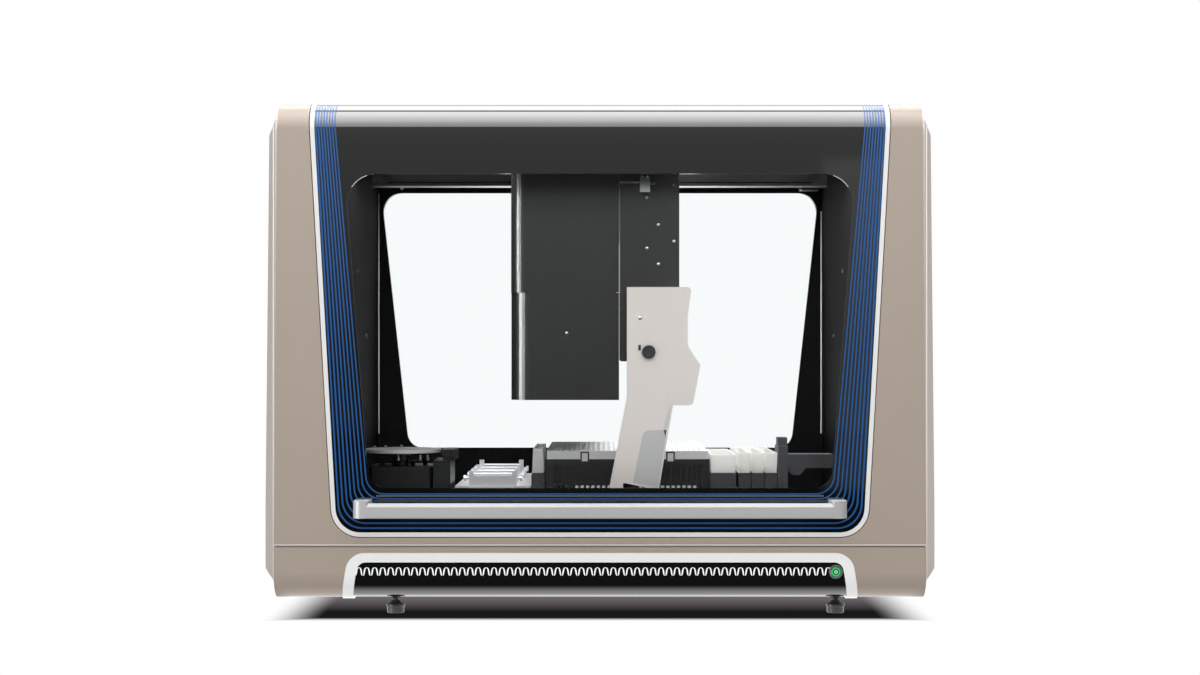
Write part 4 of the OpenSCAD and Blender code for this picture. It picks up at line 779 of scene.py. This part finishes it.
def insert_foot():
    """A foot of the rack's insert: a small block with one corner cut."""
    outline = [(-FOOT_HALF, 0), (FOOT_HALF, 0), (FOOT_HALF, FOOT_TALL), (-0.0012, FOOT_TALL),
               (-FOOT_HALF, 0.0130)]
    shape = bmesh.new()
    near = [shape.verts.new((x, 0, z)) for x, z in outline]
    far = [shape.verts.new((x, FOOT_THICK, z)) for x, z in outline]
    shape.faces.new(near)
    shape.faces.new(far[::-1])
    for k in range(len(outline)):
        after = (k + 1) % len(outline)
        shape.faces.new((near[k], near[after], far[after], far[k]))
    return shape


feet = []
for x, columns in zip(rack_xs, (range(4, 12), range(11))):
    feet += [(x + from_middle(c, TIPS_ACROSS), RACK[0][1] + 0.001, FOOT_LOW) for c in columns]
pattern("rack_feet", feet, insert_foot(), (0, 0, 0), white_tip, "housing")
print(len(feet), "feet in the combs")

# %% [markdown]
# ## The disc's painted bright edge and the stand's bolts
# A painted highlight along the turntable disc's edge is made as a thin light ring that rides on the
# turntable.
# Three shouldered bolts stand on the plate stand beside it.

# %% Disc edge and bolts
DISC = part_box("turntable_disc")
disc_x, disc_y = ((DISC[0][axis] + DISC[1][axis]) / 2 for axis in (0, 1))
RIM = [(0.0630, 0.2500), (0.0630, 0.25415), (0.0641, 0.2541), (0.0641, 0.2486), (0.0630, 0.2486)]
# a thin light ring: painted highlight along the disc's top edge
disc_rim = turned(RIM, 64, capped=False)
bmesh.ops.translate(disc_rim, verts=disc_rim.verts, vec=(disc_x, disc_y, 0))
piece("disc_rim", disc_rim, None, rim_highlight, "turntable")
pattern("stand_bolts", [(x, -0.157, 0.237) for x in (-0.3406, -0.3035, -0.2909)],
        turned([(0.0032, 0), (0.0032, 0.005), (0.0022, 0.0055), (0.0022, 0.009)], 12), (0, 0, 0), steel,
        "housing")
print("disc's middle", round(disc_x, 4), round(disc_y, 4))

# %% [markdown]
# ## The floor
# The robot stands on white paper with a dark, even shadow below its body. Lamps alone would smear that
# shadow, so the floor's own tone paints it: dark between the edges named here, white beyond. Reflections are
# told apart from the camera's view by the light path, and see a painted bright band along the front only, so
# the black panels keep their depth.

# %% Floor
SOFT = {"interpolation_type": "SMOOTHSTEP"}
SHADOW_SIDES = (0.439, 0.533)               # |x| where the shadow starts to fade, and where it ends
SHADOW_FRONT = (LOW.y + 0.038, LOW.y - 0.002)
SHADOW_REAR = (0.33, 0.42)
SHADOW_DEPTH = (LOW.y + 0.11, LOW.y + 0.29)  # the shadow turns from dark to grey between these
# painted glow on the floor, seen only in reflections
GLOW_FRONT = (LOW.y + 0.014, LOW.y + 0.060)  # the mirrored floor brightens between these
GLOW_SIDES = (0.50, 0.53)
FLOOR_BOUNCE = 0.7


def painted_floor_shadow(tree, split, sideways):
    """What the camera sees: a painted shadow in dark tones inside its edges, white paper outside."""
    beside = shade(tree, "ShaderNodeMapRange", SOFT, Value=sideways, From_Min=SHADOW_SIDES[0],
                   From_Max=SHADOW_SIDES[1])
    before = shade(tree, "ShaderNodeMapRange", SOFT, Value=split.outputs["Y"], From_Min=SHADOW_FRONT[0],
                   From_Max=SHADOW_FRONT[1])
    behind = shade(tree, "ShaderNodeMapRange", Value=split.outputs["Y"], From_Min=SHADOW_REAR[0],
                   From_Max=SHADOW_REAR[1])
    most = shade(tree, "ShaderNodeMath", {"operation": "MAXIMUM"}, i0=beside.outputs["Result"],
                 i1=before.outputs["Result"])
    clear = shade(tree, "ShaderNodeMath", {"operation": "MAXIMUM"}, i0=most.outputs["Value"],
                  i1=behind.outputs["Result"])
    depth = shade(tree, "ShaderNodeMapRange", Value=split.outputs["Y"], From_Min=SHADOW_DEPTH[0],
                  From_Max=SHADOW_DEPTH[1])
    tone = shade(tree, "ShaderNodeMixRGB", Fac=depth.outputs["Result"], Color1=colour("#1b181b"),
                 Color2=colour("#706a6e"))
    shadow = shade(tree, "ShaderNodeEmission", Color=tone.outputs["Color"], Strength=1.0)
    paper = shade(tree, "ShaderNodeEmission", Color=(1, 1, 1, 1), Strength=1.0)
    mixed = shade(tree, "ShaderNodeMixShader", Fac=clear.outputs["Value"], i1=shadow.outputs["Emission"],
                  i2=paper.outputs["Emission"])
    return mixed.outputs["Shader"]


def painted_floor_glow(tree, split, sideways):
    """What reflections see: a painted glow on the floor, bright under the front of the body and dark towards
    the viewer and the sides.
    """
    near = shade(tree, "ShaderNodeMapRange", SOFT, Value=split.outputs["Y"], From_Min=GLOW_FRONT[0],
                 From_Max=GLOW_FRONT[1], To_Min=0.03, To_Max=1.9)
    under = shade(tree, "ShaderNodeMapRange", Value=sideways, From_Min=GLOW_SIDES[0], From_Max=GLOW_SIDES[1],
                  To_Min=1.0, To_Max=0.06)
    lit = shade(tree, "ShaderNodeMath", {"operation": "MULTIPLY"}, i0=near.outputs["Result"],
                i1=under.outputs["Result"])
    seen = shade(tree, "ShaderNodeEmission", Color=(1, 1, 1, 1), Strength=lit.outputs["Value"])
    return seen.outputs["Emission"]


def studio_floor():
    """A white floor with a painted dark, even shadow below the body and none beyond it."""
    bpy.ops.mesh.primitive_plane_add(size=16, location=(0, 0, -0.0002))
    made = bpy.context.object
    made.name = "studio_floor"
    mat, tree, out = blank("white_paper_floor")
    split = shade(tree, "ShaderNodeSeparateXYZ", Vector=object_place(tree))
    aside = shade(tree, "ShaderNodeMath", {"operation": "ABSOLUTE"}, i0=split.outputs["X"])
    sideways = aside.outputs["Value"]
    path = shade(tree, "ShaderNodeLightPath")
    bounce = shade(tree, "ShaderNodeEmission", Color=(1, 1, 1, 1), Strength=FLOOR_BOUNCE)
    dull = shade(tree, "ShaderNodeMixShader", Fac=path.outputs["Is Diffuse Ray"],
                 i1=painted_floor_shadow(tree, split, sideways), i2=bounce.outputs["Emission"])
    last = shade(tree, "ShaderNodeMixShader", Fac=path.outputs["Is Glossy Ray"], i1=dull.outputs["Shader"],
                 i2=painted_floor_glow(tree, split, sideways))
    tree.links.new(last.outputs["Shader"], out.inputs["Surface"])
    made.data.materials.append(mat)
    made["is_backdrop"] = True


studio_floor()
print("shadow fades out at x", SHADOW_SIDES[1])

# %% [markdown]
# ## The world
# The camera sees plain white behind the robot. A gloss panel needs something to mirror, so
# reflections see a ramp instead, from a dark front horizon over a bright top to a dark rear. Drawing
# that with lamps would take a dozen softboxes. The sky dims towards the sides, so that the side
# covers and the chamber's walls stay quiet.

# %% World
SKY = 9.5                                   # brightness of the sky's brightest part in reflections
SKY_SIDES, SKY_SIDE_SHARE = (0.35, 0.8), 0.08
# (share of the half turn from the front horizon over the top, brightness as a share of SKY)
SKY_STEPS = [(0.0, 0.010), (0.02, 0.030), (0.041, 0.045), (0.06, 0.17), (0.11, 0.39), (0.21, 0.68),
             (0.375, 1.0), (0.47, 1.0), (0.495, 0.08), (0.52, 0.08), (0.55, 1.0), (0.70, 0.6),
             (0.85, 0.10), (0.93, 0.02), (1.0, 0.012)]


def sky_ramp(tree, split):
    """The sky's brightness by height, as a colour ramp from the front horizon to the rear one."""
    ahead = shade(tree, "ShaderNodeMath", {"operation": "MULTIPLY"}, i0=split.outputs["Y"], i1=-1.0)
    angle = shade(tree, "ShaderNodeMath", {"operation": "ARCTAN2"}, i0=split.outputs["Z"],
                  i1=ahead.outputs["Value"])
    turn = shade(tree, "ShaderNodeMapRange", Value=angle.outputs["Value"], From_Min=0.0, From_Max=math.pi,
                 To_Min=0.0, To_Max=1.0)
    ramp = shade(tree, "ShaderNodeValToRGB", Fac=turn.outputs["Result"])
    for k, (at, value) in enumerate(SKY_STEPS):
        stop = ramp.color_ramp.elements[k] if k < 2 else ramp.color_ramp.elements.new(at)
        stop.position = at
        stop.color = (value, value, value, 1)
    return ramp.outputs["Color"]


def studio_world():
    """White behind the robot; for reflections, dark in front and bright overhead."""
    world = bpy.data.worlds.new("studio")
    bpy.context.scene.world = world
    world.use_nodes = True
    tree = world.node_tree
    tree.nodes.clear()
    out = tree.nodes.new("ShaderNodeOutputWorld")
    path = shade(tree, "ShaderNodeLightPath")
    way = shade(tree, "ShaderNodeTexCoord").outputs["Generated"]
    split = shade(tree, "ShaderNodeSeparateXYZ", Vector=way)
    aside = shade(tree, "ShaderNodeMath", {"operation": "ABSOLUTE"}, i0=split.outputs["X"])
    hold = shade(tree, "ShaderNodeMapRange", Value=aside.outputs["Value"], From_Min=SKY_SIDES[0],
                 From_Max=SKY_SIDES[1], To_Min=SKY, To_Max=SKY * SKY_SIDE_SHARE)
    seen = shade(tree, "ShaderNodeBackground", Color=sky_ramp(tree, split), Strength=hold.outputs["Result"])
    fill = shade(tree, "ShaderNodeBackground", Color=(1.0, 0.99, 0.98, 1), Strength=0.55)
    white = shade(tree, "ShaderNodeBackground", Color=(1, 1, 1, 1), Strength=1.0)
    first = shade(tree, "ShaderNodeMixShader", Fac=path.outputs["Is Glossy Ray"],
                  i1=fill.outputs["Background"], i2=seen.outputs["Background"])
    direct = shade(tree, "ShaderNodeMath", {"operation": "MAXIMUM"}, i0=path.outputs["Is Camera Ray"],
                   i1=path.outputs["Is Transmission Ray"])
    last = shade(tree, "ShaderNodeMixShader", Fac=direct.outputs["Value"], i1=first.outputs["Shader"],
                 i2=white.outputs["Background"])
    tree.links.new(last.outputs["Shader"], out.inputs["Surface"])


studio_world()
print(len(SKY_STEPS), "steps in the sky")


# %% [markdown]
# ## Lamps
# Two large softboxes light the front without a hard shadow. A tall strip at the left and a weak one
# at the right are there to be mirrored: they draw the bright streaks on bent covers and give no
# diffuse light. Two small lamps under the chamber's roof light the deck, which the cabinet would
# otherwise keep dark.

# %% Lamps
def softbox(name, place, aim, size, power, mirrored=False):
    """An area light; reflections show it only where it is meant to draw a highlight."""
    light = bpy.data.lights.new(name, "AREA")
    light.shape, light.size, light.size_y, light.energy = "RECTANGLE", size[0], size[1], power
    made = bpy.data.objects.new(name, light)
    made.location = place
    made.rotation_euler = (Vector(aim) - Vector(place)).to_track_quat("-Z", "Y").to_euler()
    made.visible_glossy = mirrored
    bpy.context.collection.objects.link(made)
    return made


softbox("overhead", (0, -0.6, 2.6), (0, 0, 0.3), (2.6, 1.8), 25)
softbox("front_key", (0.1, -3.0, 1.9), (0, 0, 0.5), (2.4, 1.2), 26)
for name, place, size, power in (("left_strip", (-2.39, -1.56, 0.7), (0.7, 1.7), 200),
                                 ("right_sheen", (0.95, -3.2, 0.45), (0.5, 1.2), 0.5)):
    softbox(name, place, (0, 0, 0.5), size, power, mirrored=True).visible_diffuse = False
for name, x, size, power in (("lamp_right", 0.22, (0.36, 0.36), 7.5),
                             ("lamp_left", -0.28, (0.22, 0.36), 3.5)):
    lamp = softbox(name, (x, -0.08, 0.735), (x * 0.9, -0.1, 0.0), size, power)
    lamp.visible_camera = lamp.visible_transmission = False
print(len(bpy.data.lights), "lamps")

# %% [markdown]
# ## Camera
# A long lens from straight in front keeps the upright lines upright. The lens is shifted rather
# than tilted, as with a view camera, so that the body sits a little low without leaning.

# %% Camera
camera = bpy.data.objects.new("camera", bpy.data.cameras.new("camera"))
camera.location = (0, -3.207, 0.403)
camera.rotation_euler = (math.pi / 2, 0, 0)
camera.data.lens, camera.data.sensor_width = 54.2, 36
camera.data.shift_y = 0.0204
bpy.context.collection.objects.link(camera)
bpy.context.scene.camera = camera
bpy.context.scene.view_settings.view_transform = "Standard"
print("camera at", tuple(round(v, 3) for v in camera.location))
